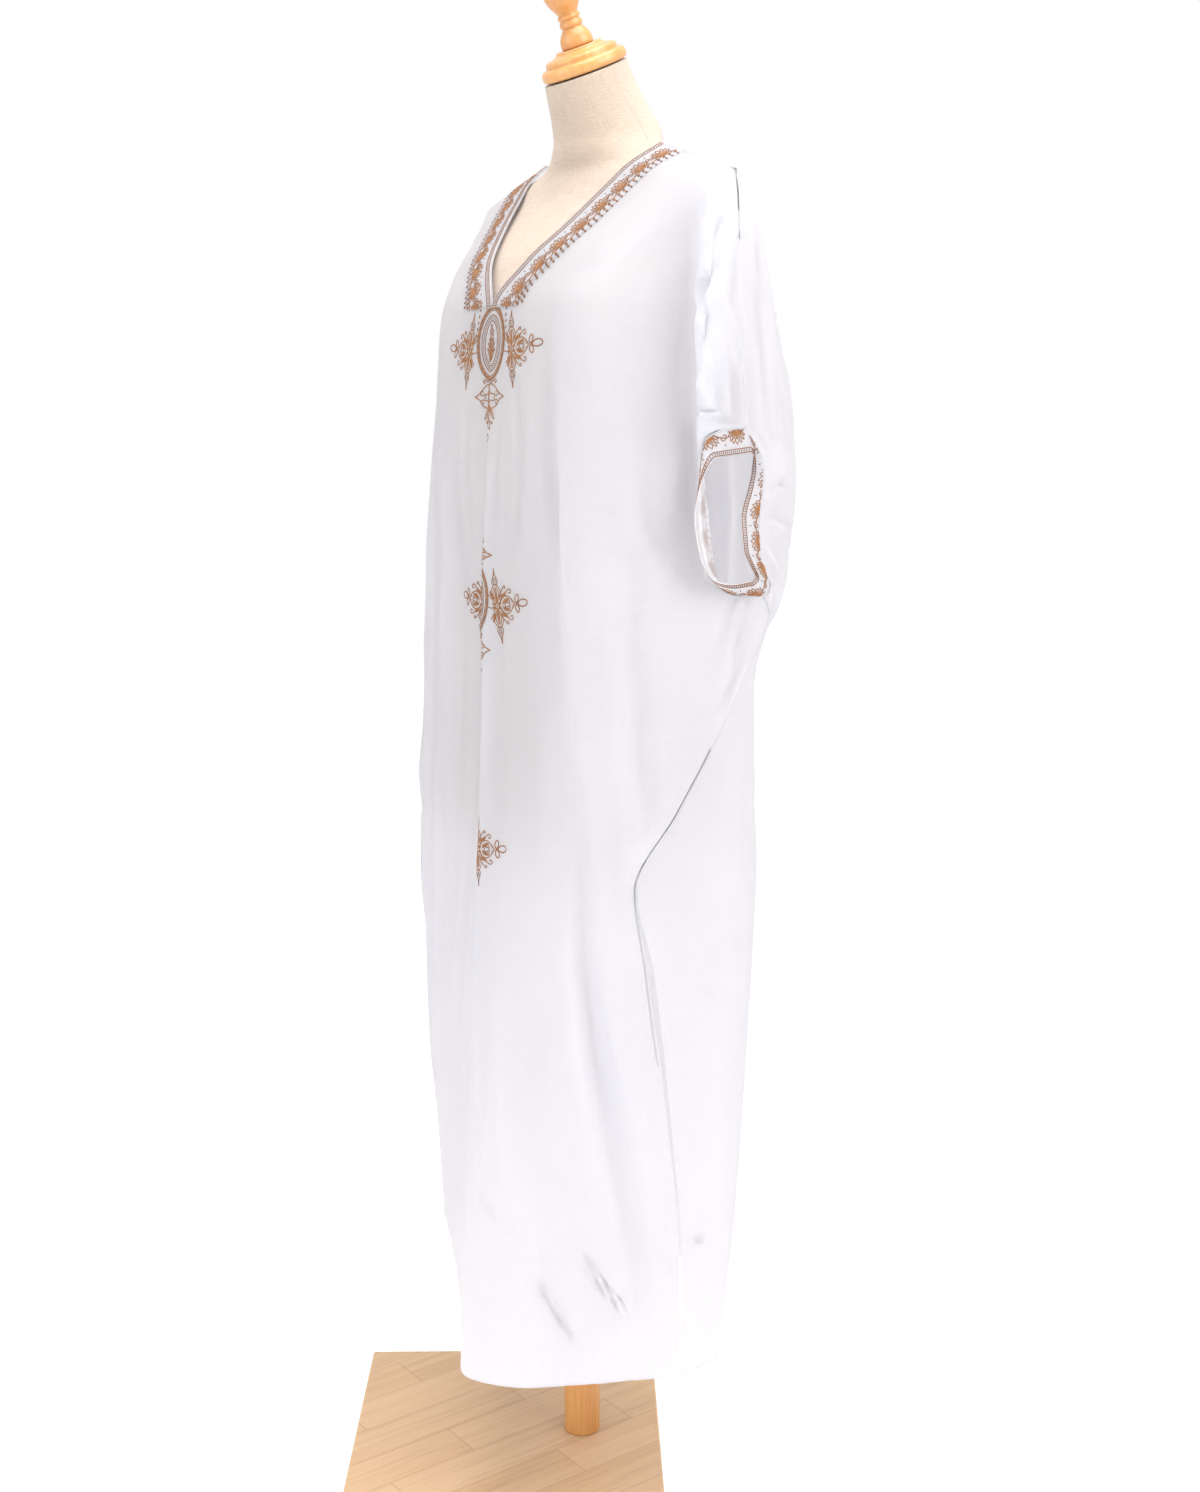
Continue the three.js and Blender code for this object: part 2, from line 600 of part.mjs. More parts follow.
// A border strip lies on the front panel, along one side of the V.
function neckBand(panel, ids) {
  const strip = new Sheet();
  const rows = ids.slice(0, ROWS.indexOf(V_DEPTH) + 1).map((row) => row.slice(0, BORDER_STEPS + 1));
  const lift = WALL / 2 + LAY + BAND_WALL / 2;
  const raised = rows.map((row) => row.map((id) => (
    panel.points[id].clone().addScaledVector(panel.normals[id], lift))));
  raised.forEach((row) => row[0].lerp(row[1], BAND_INSET / (BAND_W / BORDER_STEPS)));
  const flip = raised[1][1].x < 0;
  strip.addGrid(raised, flip);
  strip.normals = rows.flat().map((id) => panel.normals[id].clone());
  return strip;
}

// ---- the dress form and its stand ------------------------------------------------------------

function superPoint(angle, a, b, power) {
  const [c, s] = [Math.cos(angle), Math.sin(angle)];
  const shape = (v) => Math.sign(v) * Math.abs(v) ** (2 / power);
  return [a * shape(c), b * shape(s)];
}

function bareForm() {
  const positions = [];
  const faces = [];
  for (const [z, middle, a, b, power, tilt] of FORM_RINGS) {
    const lean = THREE.MathUtils.degToRad(tilt);
    for (let k = 0; k < FORM_SIDES; k += 1) {
      const [x, y] = superPoint(2 * Math.PI * k / FORM_SIDES, a, b, power);
      positions.push(x, middle + y * Math.cos(lean), z + y * Math.sin(lean));
    }
  }
  const last = FORM_RINGS.length - 1;
  for (let r = 0; r < last; r += 1) {
    for (let k = 0; k < FORM_SIDES; k += 1) {
      const next = (k + 1) % FORM_SIDES;
      const [a, b] = [r * FORM_SIDES + k, r * FORM_SIDES + next];
      faces.push(a, b, b + FORM_SIDES, a, b + FORM_SIDES, a + FORM_SIDES);
    }
  }
  for (let k = 1; k < FORM_SIDES - 1; k += 1) {
    faces.push(0, k + 1, k);
    const top = last * FORM_SIDES;
    faces.push(top, top + k, top + k + 1);
  }
  return solid(positions, faces);
}

function turned(profile, sides) {
  const outline = profile.map(([radius, height]) => new THREE.Vector2(radius, height));
  const geometry = new THREE.LatheGeometry(outline, sides);
  return geometry.rotateX(Math.PI / 2);
}

function board() {
  const { size, thick, bevel } = BASE;
  const half = size / 2 - bevel;
  const outline = new THREE.Shape();
  outline.moveTo(-half, -half);
  outline.lineTo(half, -half);
  outline.lineTo(half, half);
  outline.lineTo(-half, half);
  outline.closePath();
  const geometry = new THREE.ExtrudeGeometry(outline, {
    depth: thick - 2 * bevel, bevelThickness: bevel, bevelSize: bevel, bevelSegments: 2, curveSegments: 1,
  });
  return geometry.translate(0, 0, bevel);
}

// ---- materials and assembly -------------------------------------------------------------------

const looks = {
  cloth: { color: 0xf4f3f7, roughness: 0.72 },
  border: { color: 0xf3efe9, roughness: 0.7 },
  linen: { color: 0xe6dac7, roughness: 0.9 },
  wood: { color: 0xe9b877, roughness: 0.45 },
  paleWood: { color: 0xedc795, roughness: 0.55 },
};

function piece(name, geometry, look) {
  const material = new THREE.MeshStandardMaterial({ ...looks[look], metalness: 0 });
  if (look === 'cloth') material.side = THREE.DoubleSide;
  const mesh = new THREE.Mesh(geometry, material);
  mesh.name = name;
  return mesh;
}

function dress() {
  const front = panel(frontControls, FRONT_STEPS, true, FRONT_FOLDS, RIGHT);
  const back = panel(backControls, BACK_STEPS, false, BACK_FOLDS, LEFT);
  const cuffs = { [LEFT]: cuffBand(LEFT), [RIGHT]: cuffBand(RIGHT) };
  sew([front.sheet, back.sheet, cuffs[LEFT], cuffs[RIGHT]]);
  squareShoulders(front, -1);
  squareShoulders(back, 1);
  const group = new THREE.Group();
  group.add(piece('front_panel', wall(front.sheet, WALL), 'cloth'));
  group.add(piece('back_panel', wall(back.sheet, WALL), 'cloth'));
  for (const [hand, side] of [['left', LEFT], ['right', RIGHT]]) {
    group.add(piece(`cuff_band_${hand}`, wall(cuffs[side], WALL), 'border'));
    const strip = neckBand(front.sheet, front.ids[side]);
    group.add(piece(`neck_band_${hand}`, wall(strip, BAND_WALL), 'border'));
  }
  return group;
}

function stand() {
  const group = new THREE.Group();
  group.add(piece('form_body', bareForm(), 'linen'));

  const head = new THREE.Group();
  head.position.set(0, CAP_CENTRE.y, CAP_CENTRE.z);
  head.rotation.x = THREE.MathUtils.degToRad(NECK_TILT);
  head.add(piece('neck_cap', turned(CAP_PROFILE, ROUND_SIDES), 'wood'));
  const finial = piece('finial', turned(FINIAL_PROFILE, ROUND_SIDES), 'wood');
  finial.position.z = CAP_PROFILE[CAP_PROFILE.length - 1][1] + SEAM_GAP;
  head.add(finial);
  group.add(head);

  const poleFoot = BASE.thick + SEAM_GAP;
  const poleLength = FORM_FOOT_Z - SEAM_GAP - poleFoot;
  const rod = [[0, 0], [POLE_R, 0], [POLE_R, poleLength], [0, poleLength]];
  const pole = piece('pole', turned(rod, ROUND_SIDES), 'wood');
  pole.position.z = poleFoot;
  group.add(pole);

  const base = piece('base_board', board(), 'paleWood');
  const turn = THREE.MathUtils.degToRad(BASE.turn);
  base.rotation.z = turn;
  base.position.set(
    BASE.offR * Math.cos(turn) + BASE.offT * Math.sin(turn),
    BASE.offR * Math.sin(turn) - BASE.offT * Math.cos(turn),
    0,
  );
  group.add(base);
  return group;
}

const model = new THREE.Group();
model.add(dress(), stand());

export default model;
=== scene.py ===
"""A white batwing kaftan dress on a limbless dress form: its cloth, embroidery, form and stand."""
import json
import math
from functools import lru_cache

import bpy
import numpy as np
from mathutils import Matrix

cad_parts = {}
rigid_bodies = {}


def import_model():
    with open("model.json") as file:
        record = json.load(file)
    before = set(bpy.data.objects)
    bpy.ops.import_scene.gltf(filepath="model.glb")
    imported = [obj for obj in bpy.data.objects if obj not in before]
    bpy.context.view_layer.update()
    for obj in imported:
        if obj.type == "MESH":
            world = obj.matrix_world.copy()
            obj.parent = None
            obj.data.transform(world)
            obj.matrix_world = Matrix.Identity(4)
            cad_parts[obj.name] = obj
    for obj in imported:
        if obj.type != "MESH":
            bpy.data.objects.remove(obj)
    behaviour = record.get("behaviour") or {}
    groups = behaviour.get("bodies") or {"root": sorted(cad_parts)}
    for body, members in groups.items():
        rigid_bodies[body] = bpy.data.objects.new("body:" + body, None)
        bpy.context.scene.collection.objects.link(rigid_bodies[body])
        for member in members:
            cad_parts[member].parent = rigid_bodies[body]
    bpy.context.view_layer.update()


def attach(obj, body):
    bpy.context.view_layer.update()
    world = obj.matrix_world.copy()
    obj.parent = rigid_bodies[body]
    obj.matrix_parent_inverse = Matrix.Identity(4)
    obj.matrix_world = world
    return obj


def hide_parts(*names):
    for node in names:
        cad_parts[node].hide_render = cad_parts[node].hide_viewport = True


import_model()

bl_info = {
    "name": "Kaftan dress",
    "version": (1, 0, 0),
    "blender": (4, 5, 0),
    "location": "View3D > Sidebar > Kaftan",
    "description": "Builds a white embroidered kaftan dress on a dress form with a wooden stand",
    "category": "Object",
}

# ---- sizes in millimetres: front faces -Y, the wearer's left is +X -------------------------

MM = 0.001
NECK_Z = 1534
HEM_Z = 214
LENGTH = NECK_Z - HEM_Z
V_DEPTH = 170
BACK_NECK_RISE = 18
BAND_W = 47
CUFF_TOP = 284
CUFF_FOOT = 492
SLIT_TOP = 770
LEFT = 1
RIGHT = -1
POLE_R = 21.5
BASE = {"size": 371, "thick": 30, "turn": 53.8, "off_r": -91, "off_t": -5.5}
FORM_FOOT_Z = 770
NECK_TILT = 23.6
CAP_CENTRE = (8.5, 1620)
SEAM_GAP = 0.3


class Track:
    """A smooth run of values over rising knots, which never overshoots them."""

    def __init__(self, knots, values):
        self.knots = np.array(knots, float)
        self.values = np.array(values, float)
        slope = np.diff(self.values) / np.diff(self.knots)
        before, after = slope[:-1], slope[1:]
        even = np.where(before * after > 0, before + after, 1)
        inner = np.where(before * after > 0, 2 * before * after / even, 0)
        self.tangents = np.concatenate([slope[:1], inner, slope[-1:]])

    def __call__(self, at):
        i = np.clip(np.searchsorted(self.knots, at, side="left") - 1, 0, len(self.knots) - 2)
        h = self.knots[i + 1] - self.knots[i]
        t = (at - self.knots[i]) / h
        return hermite(self.values[i], self.values[i + 1], self.tangents[i] * h, self.tangents[i + 1] * h, t)


def hermite(p, q, mp, mq, t):
    t2, t3 = t * t, t * t * t
    return (2 * t3 - 3 * t2 + 1) * p + (t3 - 2 * t2 + t) * mp + (3 * t2 - 2 * t3) * q + (t3 - t2) * mq


def smooth(a, b, at):
    t = np.clip((np.asarray(at, float) - a) / (b - a), 0, 1)
    return t * t * (3 - 2 * t)


def table(names, rows):
    """Each row is a section, and the first column is the drop below the neck point."""
    keys = names.split()
    columns = list(zip(*rows))
    return {key: Track(columns[0], columns[i + 1]) for i, key in enumerate(keys[1:])}


# Front panel: root is the V edge and, below it, the root of the centre lap.
FRONT = table("drop root_x root_y lap_x lap_y mid_x mid_y far_mid_y side_x side_y far_side_y", [
    (0, 101.5, 30, 101.5, 30, 152, 29.6, 29.6, 174, 29.4, 29.4),
    (24, 88, -4.5, 88, -4.5, 142, -0.5, -0.5, 168, 4, 4.5),
    (44, 79, -23.5, 79, -23.5, 134, -18.5, -18.5, 162, -12.5, -12.5),
    (84, 59, -60.5, 59, -60.5, 114, -54, -53, 156, -43, -40),
    (124, 31, -95.5, 31, -95.5, 94, -89, -88, 152, -70, -67),
    (170, 0, -116, 0, -116, 72, -113.5, -113, 150, -92, -86),
    (250, 0, -119, 0, -121, 74, -121, -120, 152, -103, -94),
    (350, 3, -117, -1, -125, 82, -120, -120, 156, -112, -102),
    (450, 9, -116, -3, -131, 88, -117, -118, 160, -118, -107),
    (560, 10, -117, -3, -133, 88, -118, -119, 162, -123, -111),
    (700, 10, -120, -2, -137, 88, -128, -123, 162, -130, -115),
    (860, 12, -134, 0, -149, 88, -153, -132, 160, -144, -115),
    (1020, 20, -152, 14, -165, 90, -184, -142, 158, -162, -114),
    (1180, 24, -172, 34, -187, 92, -208, -139, 150, -182, -100),
    (1320, 26, -190, 60, -212, 94, -226, -112, 146, -196, -74),
])

# Front panel's side: hollow between body and sleeve, fold of the sleeve, side edge.
FRONT_SIDE = table("drop hollow_x hollow_y hollow_z fold_x fold_y fold_z edge_x edge_y edge_z", [
    (0, 194, 29.3, 1504, 212, 29.1, 1498.2, 225, 29, 1494),
    (24, 198, 12, 1493, 219, 17, 1485, 231, 28, 1478),
    (44, 201, 3, 1478, 224, 5, 1470, 236, 26, 1462),
    (90, 204, -4, 1436, 234, -8, 1428, 243, 22, 1420),
    (150, 206, -6, 1378, 239, -20, 1372, 248, 18, 1362),
    (210, 208, -6, 1320, 241, -27, 1316, 250, 18, 1306),
    (262, 209, -6, 1268, 240, -29, 1276, 248, 25, 1264),
    (284, 209, -5, 1246, 239, -28, 1262, 244, 30, 1238),
    (305, 208, -3, 1226, 239, -27, 1251, 243, 4, 1235),
    (325, 208, -2, 1206, 235, -26, 1237, 237, -19, 1224),
    (345, 208, 0, 1186, 227, -18, 1211, 230, -17, 1200),
    (380, 209, 4, 1152, 219, -4, 1160, 224, -2, 1151),
    (420, 210, 4, 1114, 218, 0, 1112, 225, 4, 1107),
    (450, 212, -6, 1084, 220, 3, 1080, 228, 12, 1076),
    (475, 214, -16, 1058, 226, 10, 1058, 234, 34, 1066),
    (492, 215, -24, 1040, 229, 10, 1044, 238, 60, 1064),
    (510, 216, -30, 1022, 231, 8, 1026, 239, 70, 1046),
    (560, 215, -44, 974, 230, -6, 974, 238, 36, 982),
    (620, 212, -60, 914, 227, -26, 914, 236, 6, 922),
    (700, 200, -92, 834, 215, -66, 834, 226, -40, 842),
    (770, 190, -104, 764, 203, -97, 764, 214, -86, 764),
    (860, 194, -114, 674, 211, -99, 674, 225, -79, 674),
    (1020, 198, -122, 514, 216, -92, 514, 231, -57, 514),
    (1180, 194, -132, 354, 215, -88, 354, 236, -43, 354),
    (1320, 182, -140, 214, 212, -84, 214, 236, -42, 214),
])

# How far the wearer's right side hangs behind the mirror image of the left.
FAR = table("drop hollow fold edge", [
    (0, 0, 0, 0),
    (24, 0, 8, 0),
    (44, 5, 14, 2),
    (84, 4, 18, 4),
    (150, 4, 2, 2),
    (250, 0, 0, 0),
    (700, 0, 0, 0),
    (860, 20, 14, 0),
    (1020, 36, 18, 2),
    (1180, 52, 28, 10),
    (1320, 94, 60, 42),
])

# Back panel: centre back, shoulder blade, and the stretch under the neck point.
BACK = table("drop mid_y blade_x blade_y neck_x neck_y neck_z", [
    (0, 104, 58, 84, 101.5, 30, 1534),
    (24, 105, 60, 92, 106, 52, 1516),
    (44, 106, 62, 98, 110, 68, 1495),
    (90, 109, 64, 107, 120, 92, 1448),
    (150, 112, 66, 115, 130, 110, 1386),
    (262, 115, 70, 121, 140, 124, 1272),
    (380, 113, 70, 121, 140, 128, 1154),
    (492, 110, 70, 117, 138, 124, 1042),
    (620, 112, 72, 117, 136, 118, 914),
    (770, 122, 74, 124, 136, 118, 764),
    (1020, 138, 78, 136, 136, 114, 514),
    (1320, 150, 80, 142, 136, 104, 214),
])

# Back panel's side: the wing behind the arm, its outer face, side edge.
BACK_SIDE = table("drop wing_x wing_y wing_z face_x face_y face_z edge_x edge_y edge_z", [
    (0, 150, 29.6, 1518.3, 195, 29.2, 1503.7, 225, 29, 1494),
    (24, 168, 48, 1508, 212, 44, 1493, 231, 28, 1478),
    (44, 176, 62, 1488, 220, 52, 1474, 236, 26, 1462),
    (90, 185, 82, 1434, 230, 58, 1426, 243, 22, 1420),
    (150, 192, 100, 1372, 236, 70, 1366, 248, 18, 1362),
    (210, 198, 115, 1312, 240, 78, 1308, 250, 18, 1306),
    (262, 202, 126, 1262, 243, 82, 1258, 248, 25, 1264),
    (284, 203, 130, 1238, 244, 82, 1236, 244, 30, 1238),
    (305, 204, 132, 1220, 245, 82, 1218, 246, 42, 1222),
    (325, 205, 133, 1204, 246, 83, 1202, 247, 52, 1204),
    (345, 206, 133, 1186, 246, 83, 1184, 247, 53, 1184),
    (380, 207, 131, 1150, 246, 82, 1150, 247, 47, 1148),
    (420, 205, 127, 1112, 244, 82, 1112, 247, 49, 1112),
    (450, 203, 124, 1082, 242, 86, 1084, 245, 60, 1088),
    (475, 201, 116, 1058, 239, 86, 1062, 241, 66, 1072),
    (492, 199, 109, 1042, 236, 82, 1046, 238, 60, 1064),
    (510, 195, 100, 1024, 231, 76, 1028, 239, 70, 1046),
    (560, 187, 94, 974, 224, 64, 976, 238, 36, 982),
    (620, 186, 96, 914, 226, 54, 918, 236, 6, 922),
    (700, 188, 97, 834, 233, 34, 838, 226, -40, 842),
    (770, 190, 96, 764, 237, 14, 764, 214, -86, 764),
    (860, 187, 94, 674, 239, 12, 674, 226.5, -72.5, 674),
    (1020, 182, 89, 514, 238, 14, 514, 232.5, -54.3, 514),
    (1180, 176, 83, 354, 233, 19, 354, 236.8, -40.8, 354),
    (1320, 165, 77, 214, 222, 28, 214, 236.8, -39.8, 214),
])

# Free edge of a cuff's opening, against the drop of the seam that it joins.
CUFF_FRONT = table("drop edge_x edge_y edge_z", [
    (284, 243, 38, 1212),
    (305, 242, 10, 1209),
    (325, 241, -8, 1207),
    (345, 240, -26, 1180),
    (380, 240, -33, 1148),
    (420, 240, -26, 1111),
    (450, 241, -6, 1083),
    (475, 242, 18, 1079),
    (492, 243, 40, 1081),
])

# The same at the back of the opening.
CUFF_BACK = table("drop edge_x edge_y edge_z", [
    (284, 243, 38, 1212),
    (305, 238, 48, 1207),
    (325, 234, 48, 1194),
    (345, 236, 41, 1176),
    (380, 246, 22, 1144),
    (420, 248, 24, 1116),
    (450, 247, 36, 1096),
    (475, 245, 44, 1086),
    (492, 243, 40, 1081),
])

# Large folds: from and to (drop), distance from the inner edge at both ends, depth, half width.
FRONT_FOLDS = {
    LEFT: [
      (150, 1290, 92, 270, -9, 17),
      (200, 1300, 119, 301, 5, 16),
      (380, 900, 234, 282, -4, 18),
      (420, 1120, 52, 78, -4, 13),
      (860, 1330, 138, 166, -4, 16),
    ],
    RIGHT: [
      (330, 1000, 74, 92, -6, 15),
      (180, 1330, 140, 168, -7, 18),
      (700, 1330, 214, 236, -6, 16),
    ],
}
BACK_FOLDS = {
    LEFT: [
      (160, 1330, 26, 34, -8, 17),
      (220, 1330, 96, 118, -9, 18),
      (120, 620, 158, 164, -5, 14),
      (640, 1330, 196, 200, -5, 16),
    ],
    RIGHT: [
      (200, 1330, 52, 66, -8, 16),
      (140, 1100, 118, 128, -8, 17),
      (150, 660, 166, 170, -5, 14),
      (560, 1330, 182, 204, -7, 17),
    ],
}

# Bare form, from the foot up: height, middle, half width, half depth, squareness, tilt.
FORM_RINGS = [
    (770, 0, 140, 92, 2.2, 0),
    (792, 0, 158, 103, 2.2, 0),
    (850, 0, 165, 107, 2.3, 0),
    (940, -2, 156, 99, 2.2, 0),
    (1060, -2, 128, 82, 2.1, 0),
    (1120, -4, 124, 82, 2.1, 0),
    (1200, -8, 134, 90, 2.1, 0),
    (1290, -10, 150, 99, 2.1, 0),
    (1364, -5, 166, 103, 2.1, 0),
    (1410, 5, 172, 94, 2.1, 0),
    (1430, 9, 178, 84, 2.0, 0),
    (1450, 14, 185, 72, 1.9, 0),
    (1470, 20, 190, 60, 1.8, 0),
    (1484, 22, 189, 50, 1.75, 0),
    (1497, 22, 181, 42, 1.7, 0),
    (1508, 25, 152, 39, 1.6, 0),
    (1518, 31, 116, 43, 1.6, 2),
    (1530, 36, 88, 52, 1.7, 4),
    (1548, 38, 69, 57, 1.9, 8),
    (1575, 28, 56, 53, 2, 14),
    (1600, 15.5, 49, 49, 2, 20),
    (1618, 8, 46.5, 46.5, 2, 23.6),
]
# Creases along listed points: path (across from the middle, drop), depth, half width, lip.
# Across is along the cloth, towards the wearer's left where it is positive.
FRONT_CREASES = [
    ([(152, 6), (188, 34), (236, 72), (282, 108), (322, 140)], 1.8, 3.0, 1.0),
    ([(137, 20), (164, 50), (213, 100), (260, 135), (301, 180), (306, 237), (276, 274)], 4.7, 6.0, 0.6),
    ([(158, 24), (182, 48), (228, 88), (300, 142), (338, 172), (352, 215)], 1.7, 3.4, 0.7),
    ([(300, 172), (314, 205), (327, 248), (350, 303)], 1.5, 4.0, 0.9),
    ([(330, 158), (352, 206), (372, 262), (381, 290)], 1.7, 4.2, 0.8),
    ([(318, 200), (334, 245), (343, 300)], 1.1, 3.4, 0.9),
    ([(346, 170), (368, 214), (388, 262)], 1.3, 3.6, 0.8),
    ([(89, 190), (98, 270), (118, 350), (147, 431), (165, 503), (178, 590), (192, 675), (201, 764),
      (211, 889), (225, 996), (240, 1109), (266, 1220)], 2.8, 9.0, 0.55),
    ([(240, 400), (243, 503), (251, 609), (265, 690), (280, 790)], 2.4, 13.0, 0.4),
    ([(224, 272), (232, 308), (235, 364), (254, 402), (277, 435), (300, 462)], 2.2, 9.0, 0.6),
    ([(262, 262), (272, 293), (279, 322), (291, 364), (303, 408)], 3.0, 9.0, 0.4),
    ([(52, 215), (56, 237), (68, 308), (72, 400), (74, 500)], 1.6, 5.5, 0.5),
    ([(30, 262), (33, 350), (36, 470)], 1.2, 4.5, 0.5),
    ([(112, 880), (118, 960), (124, 1050), (130, 1150)], 2.0, 10.0, 0.4),
    ([(60, 900), (66, 1000), (74, 1120)], 1.4, 8.0, 0.5),
    ([(398, 500), (378, 512), (360, 560), (338, 612)], 2.2, 7.0, 0.7),
    ([(384, 478), (366, 520), (352, 556)], 1.3, 4.0, 0.7),
    ([(372, 452), (350, 492), (338, 540)], 1.6, 6.0, 0.6),
    ([(150, 1183), (172, 1218), (194, 1256), (214, 1279)], 1.6, 2.2, 1.2),
    ([(199, 1154), (223, 1194), (246, 1226), (271, 1256)], 1.7, 2.4, 1.3),
    ([(286, 1186), (300, 1190), (314, 1188)], 1.0, 2.0, 1.0),
    ([(72, 1115), (92, 1128), (112, 1143)], 0.9, 2.4, 0.9),
    ([(95, 1214), (111, 1220)], 0.7, 1.8, 0.9),
    ([(228, 905), (236, 940), (240, 985)], 0.8, 3.2, 0.7),
    ([(-79, 300), (-85, 380), (-91, 431), (-98, 525), (-104, 620)], 2.6, 9.0, 0.5),
    ([(-121, 660), (-119, 740), (-113, 798), (-110, 900), (-100, 1010)], 2.4, 10.0, 0.5),
    ([(-44, 250), (-50, 340), (-54, 450)], 1.4, 5.0, 0.6),
    ([(-40, 620), (-46, 760), (-52, 930), (-60, 1130)], 1.8, 8.0, 0.5),
    ([(-170, 420), (-178, 560), (-186, 720), (-190, 900)], 2.4, 12.0, 0.5),
    ([(-137, 20), (-165, 52), (-214, 102), (-262, 138), (-303, 184), (-308, 240),
      (-278, 276)], 3.4, 6.5, 0.5),
    ([(-156, 24), (-184, 50), (-232, 92), (-302, 146), (-340, 178), (-354, 222)], 1.6, 3.6, 0.7),
    ([(-302, 176), (-316, 210), (-328, 252), (-348, 298)], 1.4, 4.0, 0.8),
    ([(-328, 160), (-350, 210), (-374, 268)], 1.6, 4.2, 0.8),
    ([(-226, 276), (-234, 312), (-240, 368), (-260, 410), (-284, 448)], 2.2, 9.0, 0.6),
    ([(-392, 498), (-370, 524), (-352, 572), (-330, 626)], 2.2, 7.0, 0.7),
    ([(-158, 1166), (-182, 1206), (-206, 1240)], 1.5, 2.4, 1.2),
    ([(-96, 1196), (-118, 1228), (-132, 1262)], 1.2, 2.2, 1.1),
    ([(-236, 1080), (-250, 1128), (-256, 1170)], 1.1, 3.0, 0.9),
]
BACK_CREASES = [
    ([(328, 872), (314, 894), (302, 914)], 1.0, 2.2, 1.1),
    ([(334, 1190), (316, 1172), (300, 1148)], 1.1, 2.4, 1.1),
    ([(310, 366), (282, 358), (256, 344)], 1.5, 3.0, 0.9),
    ([(306, 384), (268, 398), (226, 412)], 1.5, 3.6, 0.9),
    ([(306, 404), (276, 436), (242, 478)], 1.5, 3.6, 0.9),
    ([(302, 424), (276, 470), (248, 522)], 1.4, 4.0, 0.8),
    ([(312, 374), (290, 378), (262, 380)], 0.9, 2.6, 0.9),
    ([(304, 394), (280, 414), (252, 436)], 1.0, 2.8, 0.9),
    ([(236, 30), (262, 92), (284, 156), (300, 214), (306, 268)], 2.0, 4.5, 0.7),
    ([(212, 40), (238, 110), (256, 180), (266, 250)], 1.5, 5.0, 0.6),
    ([(190, 60), (206, 140), (214, 230), (216, 320)], 2.2, 9.0, 0.5),
    ([(246, 160), (262, 178)], 0.7, 2.0, 0.9),
    ([(236, 214), (254, 230)], 0.8, 2.2, 0.9),
    ([(232, 262), (248, 292)], 0.8, 2.2, 0.9),
    ([(20, 150), (24, 300), (20, 480), (26, 700), (34, 900), (40, 1130)], 2.8, 11.0, 0.5),
    ([(88, 120), (96, 260), (102, 420), (98, 600), (108, 860), (122, 1150)], 2.6, 11.0, 0.5),
    ([(150, 330), (158, 470), (162, 620), (168, 800), (176, 1000)], 2.2, 10.0, 0.5),
    ([(226, 560), (232, 700), (240, 860), (250, 1040)], 2.2, 11.0, 0.5),
    ([(-60, 140), (-66, 290), (-60, 470), (-68, 720), (-80, 1000), (-88, 1200)], 2.8, 11.0, 0.5),
    ([(-120, 150), (-126, 330), (-118, 520), (-130, 760), (-142, 1010)], 2.4, 10.0, 0.5),
    ([(-190, 60), (-207, 150), (-215, 240), (-214, 330)], 2.2, 9.0, 0.5),
    ([(-230, 560), (-236, 720), (-244, 900), (-252, 1080)], 2.2, 11.0, 0.5),
    ([(-306, 384), (-270, 402), (-230, 420)], 1.5, 3.6, 0.9),
    ([(-304, 410), (-274, 446), (-244, 492)], 1.5, 3.6, 0.9),
    ([(-236, 30), (-262, 94), (-286, 160), (-304, 262)], 1.9, 4.5, 0.7),
    ([(120, 1150), (142, 1188), (160, 1236)], 1.4, 2.4, 1.2),
    ([(-60, 1120), (-82, 1158), (-90, 1210)], 1.4, 2.6, 1.1),
    ([(40, 1214), (56, 1240), (60, 1270)], 1.0, 2.0, 1.0),
    ([(-180, 1176), (-200, 1204), (-226, 1222)], 1.3, 2.4, 1.1),
    ([(-16, 640), (4, 668), (12, 700)], 0.9, 3.0, 0.8),
    ([(-310, 360), (-286, 352), (-258, 340)], 1.3, 3.0, 0.9),
]


# ---- cloth: rows, folds and creases, worked out in millimetres ------------------------------

ROW_RANGES = [(0, V_DEPTH, 34), (V_DEPTH, CUFF_TOP, 22), (CUFF_TOP, CUFF_FOOT, 44),
              (CUFF_FOOT, SLIT_TOP, 50), (SLIT_TOP, 1290, 92), (1290, LENGTH, 10)]
FRONT_STEPS = [9, 17, 18, 15, 11]
BACK_STEPS = [12, 14, 13, 10, 8]
BORDER_STEPS = 9
EDGE_STOPS = (1.2, 3.0)         # extra columns this near to a sewn or free edge
GATHERS = {"start": 150, "full": 280, "foot": 330, "reach": 75, "pitch": 25, "depth": 2.4}
FOLD_FADE = 130
FOLD_MARGIN = 30
NECK_CORNER_FADE = 60
BLADE_SHARE = 0.3
FINE_STEPS = 24
FRONT_OUTER = 5
WELT = 0.3                      # how far the cloth stands up beside a sewn seam
SHELL = 0.9                     # thickness of the cloth that shows
SEAM_EASE = 0.05


def cloth_rows():
    drops = [0.0]
    for start, end, steps in ROW_RANGES:
        drops += [start + (end - start) * (k + 1) / steps for k in range(steps)]
    return np.array(drops)


def side_point(source, name, drop):
    return np.array([float(source[f"{name}_{k}"](drop)) for k in "xyz"])


